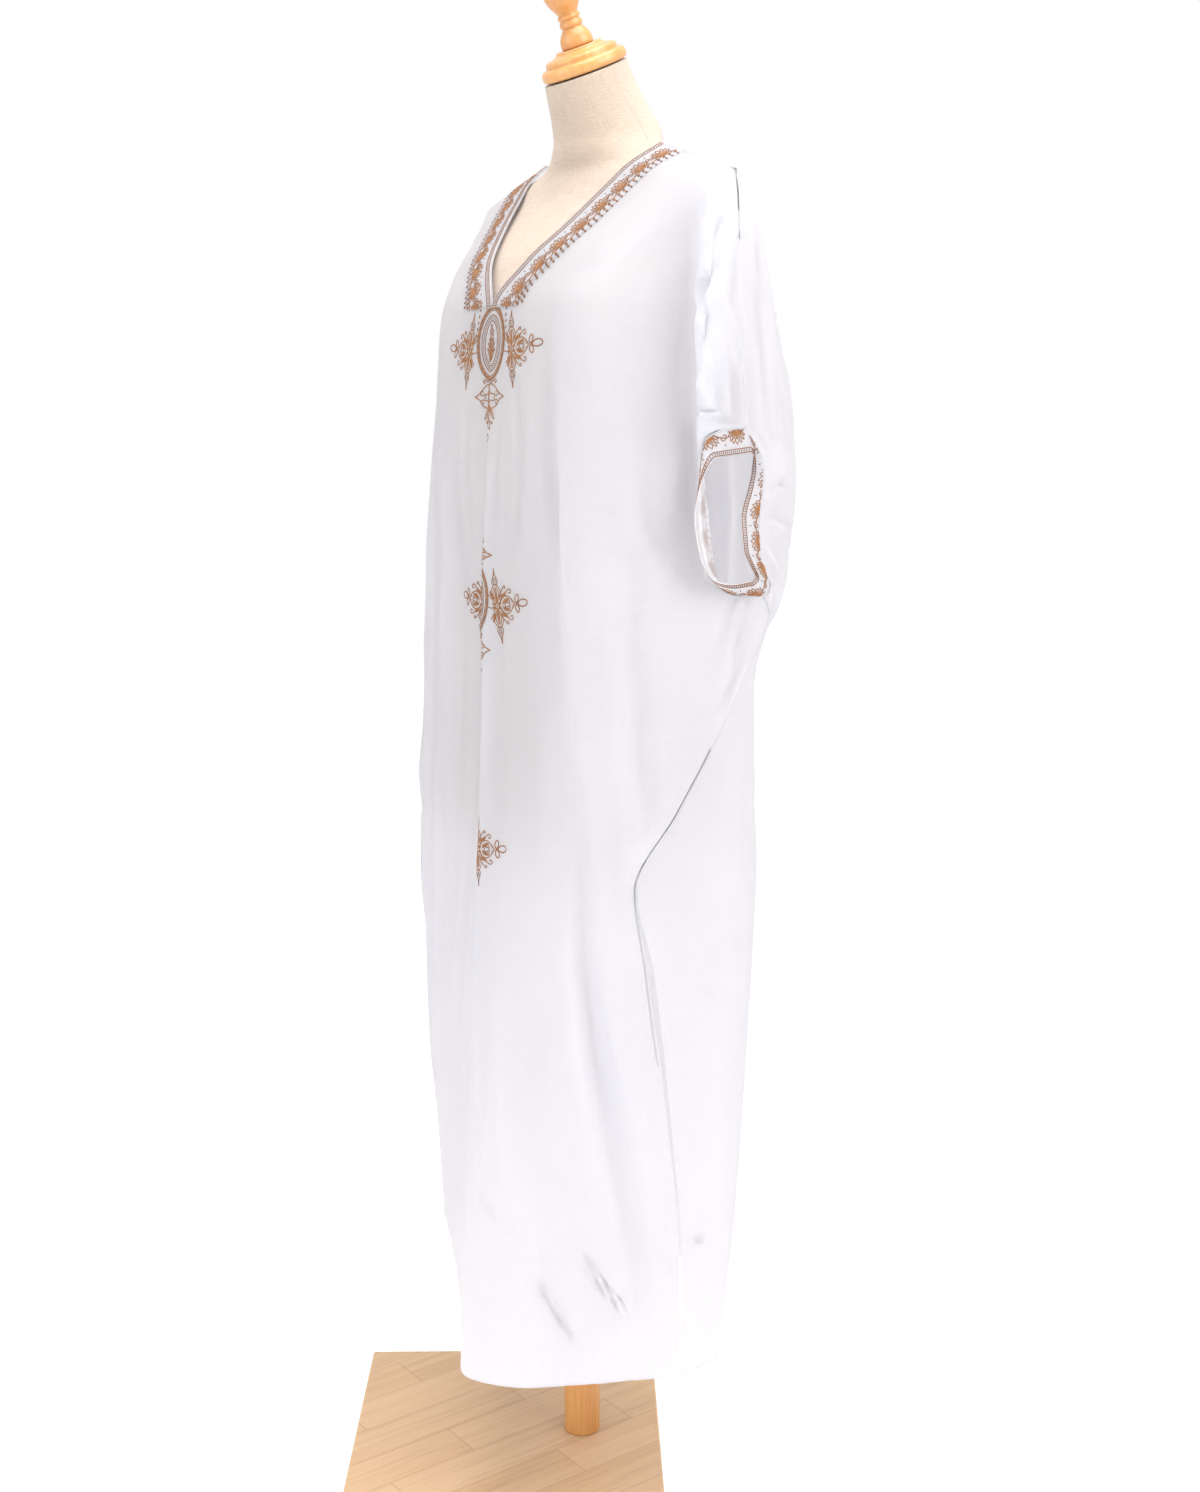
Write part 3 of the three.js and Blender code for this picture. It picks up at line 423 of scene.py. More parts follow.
def front_controls(drop, side):
    z = NECK_Z - drop
    near = side == LEFT
    value = lambda key: float(FRONT[key](drop))
    hollow = side_point(FRONT_SIDE, "hollow", drop)
    root_x = value("root_x") if near or drop < V_DEPTH else -value("root_x")
    points = [np.array([root_x, value("root_y"), z])]
    if near and drop > V_DEPTH:
        points.append(np.array([value("lap_x"), value("lap_y"), z]))
    height = lambda x: z + (hollow[2] - z) * (x - root_x) / (hollow[0] - root_x)
    for name in ("mid", "side"):
        x = value(f"{name}_x")
        y = value(f"{name}_y") if near else value(f"far_{name}_y")
        points.append(np.array([x, y, height(x)]))
    fold, edge = side_point(FRONT_SIDE, "fold", drop), side_point(FRONT_SIDE, "edge", drop)
    if not near:
        for point, name in ((hollow, "hollow"), (fold, "fold"), (edge, "edge")):
            point[1] += float(FAR[name](drop))
    points += [hollow, fold, edge]
    return points, len(points) - FRONT_OUTER, (-1, 0)


def back_controls(drop, side):
    z = NECK_Z + BACK_NECK_RISE - drop * (LENGTH + BACK_NECK_RISE) / LENGTH
    value = lambda key: float(BACK[key](drop))
    neck, edge = side_point(BACK, "neck", drop), side_point(BACK_SIDE, "edge", drop)
    if side == RIGHT:
        edge[1] += float(FAR["edge"](drop))
    blade_z = z + (neck[2] - z) * BLADE_SHARE
    points = [np.array([0, value("mid_y"), z]), np.array([value("blade_x"), value("blade_y"), blade_z]),
              neck, side_point(BACK_SIDE, "wing", drop), side_point(BACK_SIDE, "face", drop), edge]
    return points, 1, (2, 1 - float(smooth(0, NECK_CORNER_FADE, drop)))


def row_curve(points, corner):
    """A level run through control points: its fine points, and the reach of each control."""
    points = np.array(points)
    gaps = np.linalg.norm(np.diff(points, axis=0), axis=1)
    knots = np.concatenate([[0], np.cumsum(np.sqrt(np.maximum(gaps, 0.01)))])
    chord = np.diff(points, axis=0) / np.diff(knots)[:, None]
    share = np.diff(knots)[1:] / (knots[2:] - knots[:-2])
    even = chord[:-1] * share[:, None] + chord[1:] * (1 - share[:, None])
    arriving = np.concatenate([chord[:1], even, chord[-1:]])
    leaving = arriving.copy()
    index, amount = corner
    if index > 0:
        arriving[index] += (chord[index - 1] - arriving[index]) * amount
        leaving[index] += (chord[index] - leaving[index]) * amount
    t = np.linspace(0, 1, FINE_STEPS + 1)[1:, None]
    fine = [points[:1]]
    for i, h in enumerate(np.diff(knots)):
        fine.append(hermite(points[i], points[i + 1], leaving[i] * h, arriving[i + 1] * h, t))
    fine = np.concatenate(fine)
    along = np.concatenate([[0], np.cumsum(np.linalg.norm(np.diff(fine, axis=0), axis=1))])
    return fine, along, along[::FINE_STEPS]


def row_points(controls, steps, border):
    points, mid, corner = controls
    fine, along, reach = row_curve(points, corner)
    stops = [BAND_W * k / BORDER_STEPS for k in range(BORDER_STEPS + 1)] if border else [0]
    for i, count in enumerate(steps):
        start = stops[-1]
        stops += [start + (reach[mid + i] - start) * (k + 1) / count for k in range(count)]
    whole = reach[-1]
    stops[1:1] = EDGE_STOPS
    stops[-1:-1] = [whole - stop for stop in reversed(EDGE_STOPS)]
    stops = np.array(stops)
    return np.stack([np.interp(stops, along, fine[:, k]) for k in range(3)], axis=1), stops, whole - stops


def fold_height(folds, drop, along, left):
    out = np.zeros_like(along)
    for start, end, a, b, depth, width in folds:
        middle = a + (b - a) * (drop - start) / (end - start)
        ends = smooth(start, start + FOLD_FADE, drop) * (1 - smooth(end - FOLD_FADE, end, drop))
        out = out + depth * ends * np.exp(-((along - middle) / width) ** 2)
    return out * smooth(0, FOLD_MARGIN, along) * smooth(0, FOLD_MARGIN, left)


def gather_height(drop, left):
    g = GATHERS
    grow = smooth(g["start"], g["full"], drop) * (1 - smooth(g["full"], g["foot"], drop))
    wave = np.sin(2 * math.pi * left / g["pitch"]) + 0.45 * np.sin(2 * math.pi * left / 9.7 + 1.3)
    return g["depth"] * grow * wave * smooth(0, g["pitch"], g["reach"] - left) * smooth(0, 6, left)


def soft_noise(u, v, seed):
    """Even value noise on a unit grid, from -1 to 1, the same on each run."""
    grid = np.random.RandomState(seed).uniform(-1, 1, (64, 64))
    iu, iv = np.floor(u).astype(int), np.floor(v).astype(int)
    fu, fv = smooth(0, 1, u - iu), smooth(0, 1, v - iv)
    pick = lambda a, b: grid[(iu + a) % 64, (iv + b) % 64]
    low = pick(0, 0) * (1 - fu) + pick(1, 0) * fu
    high = pick(0, 1) * (1 - fu) + pick(1, 1) * fu
    return low * (1 - fv) + high * fv


# How much deeper than in the tables creases up to each half width are pressed, and the steepest.
CREASE_DEEPER = [(5, 1.9), (7, 1.7), (1000, 1.55)]
CREASE_STEEPEST = 1.25


def pressed_depth(depth, width):
    share = next(share for widest, share in CREASE_DEEPER if width <= widest)
    return min(depth * share, width * CREASE_STEEPEST)


def crease_height(creases, s, d):
    """Creases on a panel: s is the way across from the middle and d the drop, both along the cloth."""
    out = np.zeros_like(s)
    for number, (path, depth, width, lip) in enumerate(creases):
        path = np.array(path, float)
        depth = pressed_depth(depth, width)
        lengths = np.linalg.norm(np.diff(path, axis=0), axis=1)
        run = np.concatenate([[0], np.cumsum(lengths)])
        reach = 4 * width
        low, high = path.min(axis=0) - reach, path.max(axis=0) + reach
        here = (s > low[0]) & (s < high[0]) & (d > low[1]) & (d < high[1])
        if not here.any():
            continue
        x, y = s[here], d[here]
        wander = 0.35 * width * soft_noise(y / (5 * width), x * 0 + number, 11)
        nearest = np.full(x.shape, 1e9)
        offset, at = np.zeros_like(x), np.zeros_like(x)
        for i, length in enumerate(lengths):
            way = (path[i + 1] - path[i]) / length
            t = np.clip((x - path[i][0]) * way[0] + (y - path[i][1]) * way[1], 0, length)
            dx, dy = x - path[i][0] - t * way[0], y - path[i][1] - t * way[1]
            away = np.hypot(dx, dy)
            closer = away < nearest
            nearest = np.where(closer, away, nearest)
            offset = np.where(closer, np.copysign(away, way[0] * dy - way[1] * dx), offset)
            at = np.where(closer, run[i] + t, at)
        ends = smooth(0, 0.3, at / run[-1]) * smooth(0, 0.35, 1 - at / run[-1])
        uneven = 1 + 0.3 * soft_noise(at / (3.2 * width) + number, at * 0 + number, 5)
        off = offset + wander
        trough = np.exp(-(off / width) ** 2)
        ridge = np.exp(-((off - 1.9 * width) / (1.1 * width)) ** 2)
        out[here] += ends * uneven * depth * (lip * ridge - trough)
    return out


class Half:
    """One half of a panel on a fine grid: points, drops, and the way along each row."""

    def __init__(self, controls, steps, border, folds, creases, side, seed):
        self.side = side
        self.drops = cloth_rows()
        rows = [row_points(controls(drop, side), steps, border) for drop in self.drops]
        plain = np.array([row[0] for row in rows])
        self.along = np.array([row[1] for row in rows])
        left = np.array([row[2] for row in rows])
        drop = np.repeat(self.drops[:, None], plain.shape[1], axis=1)
        height = np.array([fold_height(folds, *row) for row in zip(self.drops, self.along, left)])
        height += gather_height(drop, left)
        height += crease_height(creases, side * self.along, drop) * smooth(0, 10, left)
        rest = smooth(0, 25, self.along) * smooth(0, 25, left)
        rest *= smooth(0, 60, drop)
        height += 1.1 * rest * soft_noise(self.along / 34 + 3, drop / 170 + seed, seed)
        height += 0.45 * rest * soft_noise(self.along / 13 + 7, drop / 60 + seed, seed + 1)
        seam = ((drop < CUFF_FOOT) & (drop > 0)) | (drop < SLIT_TOP)
        height += WELT * seam * (np.exp(-((left - 4) / 2.6) ** 2) - np.exp(-(left / 1.8) ** 2))
        grid = plain + grid_normals(plain) * height[:, :, None]
        grid[:, :, 0] *= side
        self.grid = grid

    def at(self, along, drop, what):
        """A point or a normal of the cloth, by the way along a row and the drop."""
        i = int(np.clip(np.searchsorted(self.drops, drop) - 1, 0, len(self.drops) - 2))
        t = (drop - self.drops[i]) / (self.drops[i + 1] - self.drops[i])
        ends = [np.array([np.interp(along, self.along[j], what[j, :, k]) for k in range(3)])
                for j in (i, i + 1)]
        return ends[0] * (1 - t) + ends[1] * t


def grid_normals(grid):
    across = np.gradient(grid, axis=1)
    down = np.gradient(grid, axis=0)
    normal = np.cross(down, across)
    return normal / np.maximum(np.linalg.norm(normal, axis=2, keepdims=True), 1e-9)


class Panel:
    """Both halves of the front or the back, joined in one mesh with normals that point outwards."""

    def __init__(self, controls, steps, border, folds, creases, seed, joined_from):
        self.halves = {side: Half(controls, steps, border, folds[side], creases, side, seed + 10 * side)
                       for side in (LEFT, RIGHT)}
        left, right = self.halves[LEFT], self.halves[RIGHT]
        rows, columns = left.grid.shape[:2]
        shared = left.drops >= joined_from
        self.ids = {LEFT: np.arange(rows * columns).reshape(rows, columns)}
        other = np.arange(rows * columns).reshape(rows, columns) + rows * columns
        other[shared, 0] = self.ids[LEFT][shared, 0]
        self.ids[RIGHT] = other
        middle = (left.grid[shared, 0] + right.grid[shared, 0]) / 2
        left.grid[shared, 0] = middle
        right.grid[shared, 0] = middle
        self.points = np.concatenate([left.grid.reshape(-1, 3), right.grid.reshape(-1, 3)])
        corner = left.grid[-1, 4]
        out = np.cross(corner - left.grid[-2, 4], left.grid[-1, 5] - corner)
        outward = LEFT if np.sum(out * corner) < 0 else RIGHT
        self.faces = np.concatenate([quads(self.ids[side], outward == side) for side in (LEFT, RIGHT)])
        self.normals = point_normals(self.points, self.faces)
        drops = np.repeat(left.drops[:, None], columns, axis=1)
        self.uv = np.concatenate([np.stack([side * half.along, drops], axis=2).reshape(-1, 2)
                                  for side, half in ((LEFT, left), (RIGHT, right))])

    def settle(self):
        """Keeps the halves' own grids up to date with the joined points."""
        for side, half in self.halves.items():
            half.grid = self.points[self.ids[side]]
            half.normals = self.normals[self.ids[side]]

    def lay(self, s, drop, lift=0.0):
        """The point over the cloth at s across and drop down, and the way out of the cloth there."""
        half = self.halves[LEFT if s >= 0 else RIGHT]
        normal = half.at(abs(s), drop, half.normals)
        normal /= np.linalg.norm(normal)
        return half.at(abs(s), drop, half.grid) + normal * lift, normal


def quads(ids, flip):
    faces = np.stack([ids[:-1, :-1], ids[1:, :-1], ids[1:, 1:], ids[:-1, 1:]], axis=2).reshape(-1, 4)
    return faces[:, ::-1] if flip else faces


def point_normals(points, faces):
    normal = np.cross(points[faces[:, 2]] - points[faces[:, 0]], points[faces[:, 3]] - points[faces[:, 1]])
    out = np.zeros_like(points)
    for k in range(4):
        np.add.at(out, faces[:, k], normal)
    return out / np.maximum(np.linalg.norm(out, axis=1, keepdims=True), 1e-12)


def sew_sides(front, back):
    """Side seams: both panels share their rim's points and normals, a hair apart."""
    for side in (LEFT, RIGHT):
        drops = front.halves[side].drops
        sewn = ((drops <= CUFF_TOP) | (drops >= CUFF_FOOT)) & (drops <= SLIT_TOP) & (drops > 0)
        a, b = front.ids[side][sewn, -1], back.ids[side][sewn, -1]
        normal = front.normals[a] + back.normals[b]
        normal /= np.linalg.norm(normal, axis=1, keepdims=True)
        front.normals[a] = back.normals[b] = normal
        for panel, ids, inner in ((front, a, front.ids[side][sewn, -2]), (back, b, back.ids[side][sewn, -2])):
            way = panel.points[inner] - panel.points[ids]
            panel.points[ids] += way / np.linalg.norm(way, axis=1, keepdims=True) * SEAM_EASE


SHOULDER_SEAM_FROM = 101.4      # the shoulder seams start this far from the middle
SHOULDER_OUT = (0.305, 0.952)   # the cloth faces this way along them: outwards and up


def square_shoulders(front, back):
    """Shoulder seams: both panels face the same way there, a hair apart."""
    for panel, away in ((front, -1), (back, 1)):
        for side in (LEFT, RIGHT):
            row = panel.ids[side][0]
            seam = row[np.abs(panel.points[row, 0]) > SHOULDER_SEAM_FROM]
            panel.normals[seam] = np.array([side * SHOULDER_OUT[0], 0, SHOULDER_OUT[1]])
            panel.points[seam, 1] += away * SEAM_EASE


@lru_cache(maxsize=None)
def sewn_panels():
    front = Panel(front_controls, FRONT_STEPS, True, FRONT_FOLDS, FRONT_CREASES, 20, V_DEPTH)
    back = Panel(back_controls, BACK_STEPS, False, BACK_FOLDS, BACK_CREASES, 60, 0)
    sew_sides(front, back)
    square_shoulders(front, back)
    front.settle()
    back.settle()
    return front, back


def cuff_grid(side, drops, shares):
    """A cuff's ring: front run down and back run up, each from the seam to the free edge."""
    runs = []
    for panel, cuff in ((FRONT_SIDE, CUFF_FRONT), (BACK_SIDE, CUFF_BACK)):
        rows = []
        for drop in drops:
            seam, edge = side_point(panel, "edge", drop), side_point(cuff, "edge", drop)
            if side == RIGHT:
                seam[1] += float(FAR["edge"](drop))
            rows.append([seam + (edge - seam) * share for share in shares])
        runs.append(np.array(rows))
    ring = np.concatenate([runs[0], runs[1][-2:0:-1]])
    ring[:, :, 0] *= side
    return ring


# ---- meshes ---------------------------------------------------------------------------------

def new_mesh(name, points, faces, uv=None, smooth_faces=True):
    """A mesh object at the origin from points in millimetres. uv gives each point's place on the cloth."""
    mesh = bpy.data.meshes.new(name)
    mesh.from_pydata((np.asarray(points) * MM).tolist(), [], [list(map(int, face)) for face in faces])
    if uv is not None:
        layer = mesh.uv_layers.new(name="cloth")
        corners = np.empty(len(mesh.loops), int)
        mesh.loops.foreach_get("vertex_index", corners)
        layer.data.foreach_set("uv", (np.asarray(uv)[corners] * MM).ravel())
    if smooth_faces:
        mesh.shade_smooth()
    piece = bpy.data.objects.new(name, mesh)
    bpy.context.scene.collection.objects.link(piece)
    return piece


def ring_faces(rows, columns, closed=True, start=0):
    """Faces of a stack of rings, each of so many points."""
    faces = []
    last = columns if closed else columns - 1
    for r in range(rows - 1):
        for c in range(last):
            a, b = start + r * columns + c, start + r * columns + (c + 1) % columns
            faces.append((a, b, b + columns, a + columns))
    return faces


def thicken(piece, thickness):
    shell = piece.modifiers.new("cloth thickness", "SOLIDIFY")
    shell.thickness = thickness
    shell.offset = 0
    shell.use_quality_normals = True


def finish_piece(piece, material, slot, *nodes):
    piece.data.materials.clear()
    piece.data.materials.append(material)
    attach(piece, "root")
    if nodes:
        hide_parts(*nodes)
    return piece


# ---- materials: sockets with plain maths ------------------------------------------------------

class Wire:
    """One output socket, on which sums and products add Math nodes."""

    def __init__(self, finish, socket):
        self.finish = finish
        self.socket = socket

    def maths(self, operation, *others, first=False):
        values = list(others) + [self] if first else [self, *others]
        return self.finish.node("ShaderNodeMath", {"operation": operation}, dict(enumerate(values)))[0]

    def __add__(self, other):
        return self.maths("ADD", other)

    def __sub__(self, other):
        return self.maths("SUBTRACT", other)

    def __rsub__(self, other):
        return self.maths("SUBTRACT", other, first=True)

    def __mul__(self, other):
        return self.maths("MULTIPLY", other)

    def __truediv__(self, other):
        return self.maths("DIVIDE", other)

    __radd__ = __add__
    __rmul__ = __mul__

    def sine(self):
        return self.maths("SINE")

    def size(self):
        return self.maths("ABSOLUTE")

    def fraction(self):
        return self.maths("FRACT")

    def between(self, low, high):
        """0 below low, 1 above high and smooth in between."""
        settings = {"interpolation_type": "SMOOTHSTEP"}
        return self.finish.node("ShaderNodeMapRange", settings, {0: self, 1: low, 2: high})[0]


class Finish:
    """One material, with a method for any node and a few for what is used most."""

    def __init__(self, name, colour, roughness, **shader):
        self.material = bpy.data.materials.new(name)
        self.material.use_nodes = True
        self.material.diffuse_color = (*colour[:3], 1)
        self.tree = self.material.node_tree
        self.shader = self.tree.nodes["Principled BSDF"]
        self.shader.inputs["Base Color"].default_value = (*colour[:3], 1)
        self.shader.inputs["Roughness"].default_value = roughness
        for key, value in shader.items():
            self.shader.inputs[key.replace("_", " ").title().replace("Ior", "IOR")].default_value = value

    def node(self, kind, settings, values):
        made = self.tree.nodes.new(kind)
        for key, value in settings.items():
            setattr(made, key, value)
        for key, value in values.items():
            socket = made.inputs[key]
            if isinstance(value, Wire):
                self.tree.links.new(value.socket, socket)
            else:
                socket.default_value = value
        return [Wire(self, socket) for socket in made.outputs if socket.enabled]

    def place(self, scale=(1, 1, 1), turn=(0, 0, 0), move=(0, 0, 0), source="Object"):
        """Coordinates in metres on the object, or along the cloth, scaled, turned and moved."""
        if source == "Object":
            nodes = self.tree.nodes.new("ShaderNodeTexCoord")
            start = Wire(self, nodes.outputs["Object"])
        else:
            start = self.node("ShaderNodeUVMap", {"uv_map": source}, {})[0]
        values = {"Vector": start, "Scale": scale, "Rotation": turn, "Location": move}
        return self.node("ShaderNodeMapping", {}, values)[0]

    def split(self, vector):
        return self.node("ShaderNodeSeparateXYZ", {}, {0: vector})

    def noise(self, vector, scale=1.0, detail=2.0, roughness=0.5, distortion=0.0):
        values = {"Vector": vector, "Scale": scale, "Detail": detail, "Roughness": roughness,
                  "Distortion": distortion}
        return self.node("ShaderNodeTexNoise", {}, values)[0]

    def blend(self, factor, a, b, mode="MIX"):
        """A colour between a and b. Plain colours are given as three numbers."""
        full = lambda c: c if isinstance(c, Wire) else (*c, 1)
        values = {0: factor, 6: full(a), 7: full(b)}
        return self.node("ShaderNodeMix", {"data_type": "RGBA", "blend_type": mode}, values)[0]

    def colour(self, wire):
        self.tree.links.new(wire.socket, self.shader.inputs["Base Color"])

    def rough(self, wire):
        self.tree.links.new(wire.socket, self.shader.inputs["Roughness"])

    def let_through(self, share, tone):
        """Thin cloth: a share of the light comes out on its other side."""
        behind = self.node("ShaderNodeBsdfTranslucent", {}, {0: tone})[0]
        front = Wire(self, self.shader.outputs[0])
        mixed = self.node("ShaderNodeMixShader", {}, {0: share, 1: front, 2: behind})[0]
        self.tree.links.new(mixed.socket, self.tree.nodes["Material Output"].inputs[0])

    def bump(self, height, distance, strength=1.0):
        values = {"Strength": strength, "Distance": distance, "Height": height}
        normal = self.node("ShaderNodeBump", {}, values)[0]
        self.tree.links.new(normal.socket, self.shader.inputs["Normal"])


THREAD_PITCH = 0.00055          # metres from one thread of the cloth to the next
LINEN_PITCH = 0.0009
CLOTH_THINNESS = 0.72            # share of the light that goes on through each face of the cloth


def weave(across, down, pitch):
    """Height of a plain weave, 0 to 1, from the way across and the way down in metres."""
    turn = 2 * math.pi / (2 * pitch)
    warp, weft = (across * turn).sine(), (down * turn).sine()
    return (warp * weft + 1) * 0.5


@lru_cache(maxsize=None)
def cloth_finish():
    """Cool white plain weave with a soft sheen, faintly slubbed."""
    props = bpy.context.scene.kaftan_cloth
    colour = tuple(props.colour)
    finish = Finish("white plain weave", colour, 0.62, sheen_weight=0.12, sheen_roughness=0.45,
                    specular_ior_level=0.3)
    across, down, _ = finish.split(finish.place(source="cloth"))
    upright = finish.noise(finish.place((900, 26, 1), source="cloth"), detail=3.0, roughness=0.6)
    level = finish.noise(finish.place((22, 700, 1), source="cloth"), detail=3.0, roughness=0.6)
    cloudy = finish.noise(finish.place((7, 5, 1), source="cloth"), detail=2.0)
    slub = upright * 0.5 + level * 0.5
    shade = tuple(c * k for c, k in zip(colour, (0.945, 0.944, 0.962)))
    tone = finish.blend((slub * 0.7 + cloudy * 0.3).between(0.3, 0.72), shade, colour)
    finish.colour(tone)
    finish.rough(0.56 + cloudy * 0.12)
    threads = weave(across, down, THREAD_PITCH)
    wrinkle = finish.noise(finish.place((60, 22, 1), source="cloth"), detail=4.0, roughness=0.55,
                           distortion=0.4)
    finish.bump(threads * 0.1 + slub * 0.35 + wrinkle * 1.6, 0.0011, 0.55)
    finish.let_through(CLOTH_THINNESS, tone)
    return finish.material


@lru_cache(maxsize=None)
def linen_finish():
    """Beige linen with slubs, stretched over the form."""
    props = bpy.context.scene.kaftan_stand
    colour = tuple(props.linen)
    finish = Finish("beige linen", colour, 0.88, sheen_weight=0.2, sheen_roughness=0.6,
                    specular_ior_level=0.25)
    across, down, _ = finish.split(finish.place(source="cloth"))
    upright = finish.noise(finish.place((800, 40, 1), source="cloth"), detail=4.0, roughness=0.7)
    level = finish.noise(finish.place((40, 800, 1), source="cloth"), detail=4.0, roughness=0.7)
    cloudy = finish.noise(finish.place((9, 9, 1), source="cloth"), detail=3.0)
    slub = upright * 0.5 + level * 0.5
    dark = tuple(c * k for c, k in zip(colour, (0.80, 0.77, 0.72)))
    light = tuple(min(1, c * k) for c, k in zip(colour, (1.1, 1.1, 1.12)))
    tone = finish.blend(slub.between(0.36, 0.66), dark, light)
    tone = finish.blend(cloudy * 0.35, tone, colour)
    finish.colour(tone)
    threads = weave(across, down, LINEN_PITCH)
    finish.bump(threads * 0.35 + slub, 0.0006, 0.7)
    return finish.material


def wood_finish(name, pale, deep, scale, turn=(0, 0, 0), move=(0, 0, 0), gloss=0.4, coat=0.25, strips=None):
    """Varnished wood whose grain runs along Z before it is turned."""
    finish = Finish(name, pale, gloss, coat_weight=coat, coat_roughness=0.22, specular_ior_level=0.45)
    spot = finish.place(turn=turn, move=move)
    x, y, z = finish.split(spot)
    shift = 0
    tint = None
    if strips:
        width, length = strips
        lane = (x / width).maths("FLOOR")
        start = (lane * 0.37).fraction() * length
        block = ((z + start) / length).maths("FLOOR")
        seed = (lane * 12.9898 + block * 78.233).sine() * 43758.5453
        tint = seed.fraction()
        shift = tint * 3.0 + lane * 0.7
        edge = ((x / width).fraction() - 0.5).size()
        joint = edge.between(0.488, 0.497)
        end = (((z + start) / length).fraction() - 0.5).size()
        joint = joint.maths("MAXIMUM", end.between(0.4975, 0.4993))
    grain_spot = finish.node("ShaderNodeCombineXYZ", {}, {0: x + shift, 1: y + shift, 2: z * 0.07})[0]
    wave = finish.noise(grain_spot, scale=9 * scale, detail=3.0, distortion=0.6)
    rings = ((wave * 11).sine() * 0.5 + 0.5)
    fine_spot = finish.node("ShaderNodeCombineXYZ", {}, {0: x + shift, 1: y + shift, 2: z * 0.025})[0]
    fibre = finish.noise(fine_spot, scale=160 * scale, detail=4.0, roughness=0.65)
    pores = finish.noise(fine_spot, scale=420 * scale, detail=2.0).between(0.62, 0.72)
    tone = finish.blend(rings * 0.55, pale, deep)
    tone = finish.blend(fibre.between(0.35, 0.75) * 0.45, tone, tuple(c * 0.82 for c in deep))
    tone = finish.blend(pores * 0.35, tone, tuple(c * 0.55 for c in deep))
    height = fibre * 0.5 - pores * 0.6
    if strips:
        tone = finish.blend(tint * 0.4, tone, tuple(min(1, c * k) for c, k in zip(pale, (1.12, 1.13, 1.15))))
        tone = finish.blend(joint * 0.55, tone, tuple(c * 0.5 for c in deep))
        height = height - joint
    finish.colour(tone)
    finish.rough(gloss + fibre * 0.12)
    finish.bump(height, 0.0003, 0.5)
    return finish.material


# ---- settings that a user may change ------------------------------------------------------------

def colour_setting(name, description, default):
    return bpy.props.FloatVectorProperty(name=name, description=description, default=default,
                                         subtype="COLOR", size=3, min=0, max=1)


def length_setting(name, description, default):
    return bpy.props.FloatProperty(name=name, description=description, default=default,
                                   subtype="DISTANCE", unit="LENGTH", min=0)


class KaftanClothSettings(bpy.types.PropertyGroup):
    colour: colour_setting("Cloth colour", "Colour of the dress's cloth", (0.88, 0.877, 0.888))
    thickness: length_setting("Cloth thickness", "Thickness of the cloth that shows", SHELL * MM)


class KaftanThreadSettings(bpy.types.PropertyGroup):
    gold: colour_setting("Gold thread", "Lighter embroidery thread", (0.31, 0.12, 0.02))
    brown: colour_setting("Brown thread", "Darker embroidery thread", (0.115, 0.034, 0.008))
    pitch: length_setting("Stitch pitch", "Way from one stitch to the next along a line", 0.001)
    height: length_setting("Stitch height", "How far the stitches stand up from the cloth", 0.0006)


class KaftanStandSettings(bpy.types.PropertyGroup):
    linen: colour_setting("Linen colour", "Cover of the dress form", (0.51, 0.415, 0.335))
    wood: colour_setting("Turned wood colour", "Neck cap, finial and pole", (0.66, 0.33, 0.105))
    board: colour_setting("Board colour", "Base board", (0.56, 0.37, 0.215))


class KaftanLightSettings(bpy.types.PropertyGroup):
    key: bpy.props.FloatProperty(name="Key light", description="Power of the large soft light", default=64,
                                 unit="POWER", min=0)
    fill: bpy.props.FloatProperty(name="Fill light", description="Power of the light on the shaded side",
                                  default=27, unit="POWER", min=0)
    top: bpy.props.FloatProperty(name="Top light", description="Power of the light overhead", default=88,
                                 unit="POWER", min=0)
    sky: bpy.props.FloatProperty(name="Surround", description="Brightness of the pale surround",
                                 default=0.94, min=0)


# ---- the dress form and its stand ------------------------------------------------------------------

FORM_TURNS = 112
FORM_LEVELS = 130
TURNED_SIDES = 96

# Turned pieces: radius, height, and 1 where the profile turns sharply.
CAP_PROFILE = [
    (0, 0, 1), (43.4, 0, 1), (46.2, 0.9, 0), (47.5, 3, 0), (47.8, 6, 0), (47.2, 9.2, 0), (45.4, 12, 0),
    (42.6, 13.2, 1), (40.6, 13.3, 1), (40.3, 14.2, 0), (40.2, 16.4, 0), (39.4, 18.6, 0), (37.4, 20.1, 1),
    (35.6, 20.3, 1), (33, 20.9, 0), (29, 22.2, 0), (26.6, 23.6, 1), (26, 23.8, 1), (25.6, 25.2, 0),
    (24.8, 26, 1), (0, 26, 1),
]
FINIAL_PROFILE = [
    (0, 0, 1), (16.6, 0, 1), (17.6, 1, 0), (18, 4, 0), (17.2, 9, 0), (15, 14, 0), (12, 18, 0),
    (10.9, 19.4, 1), (10.7, 20, 1), (11.6, 20.6, 0), (12.5, 22.4, 0), (12.6, 24.2, 0), (11.8, 26, 0),
    (10.9, 27.2, 1), (10.8, 28.2, 1), (11.8, 29, 0), (12.4, 30.6, 0), (12, 32.4, 0), (10.8, 33.6, 1),
    (10.7, 34.4, 1), (13.4, 39, 0), (16.6, 44, 0), (18.9, 49.5, 0), (20.4, 55.5, 0), (21, 61.5, 0),
    (20.9, 67, 0), (20.3, 70, 1), (20.4, 70.6, 1), (21.3, 71.3, 0), (21.6, 73, 0), (21.5, 75, 0),
    (20.8, 76, 1), (19.8, 76.4, 1), (19.2, 79.4, 0), (17, 84.2, 0), (13.6, 89, 0), (8.6, 93.4, 0),
    (3.6, 95.6, 0), (0, 96, 1),
]


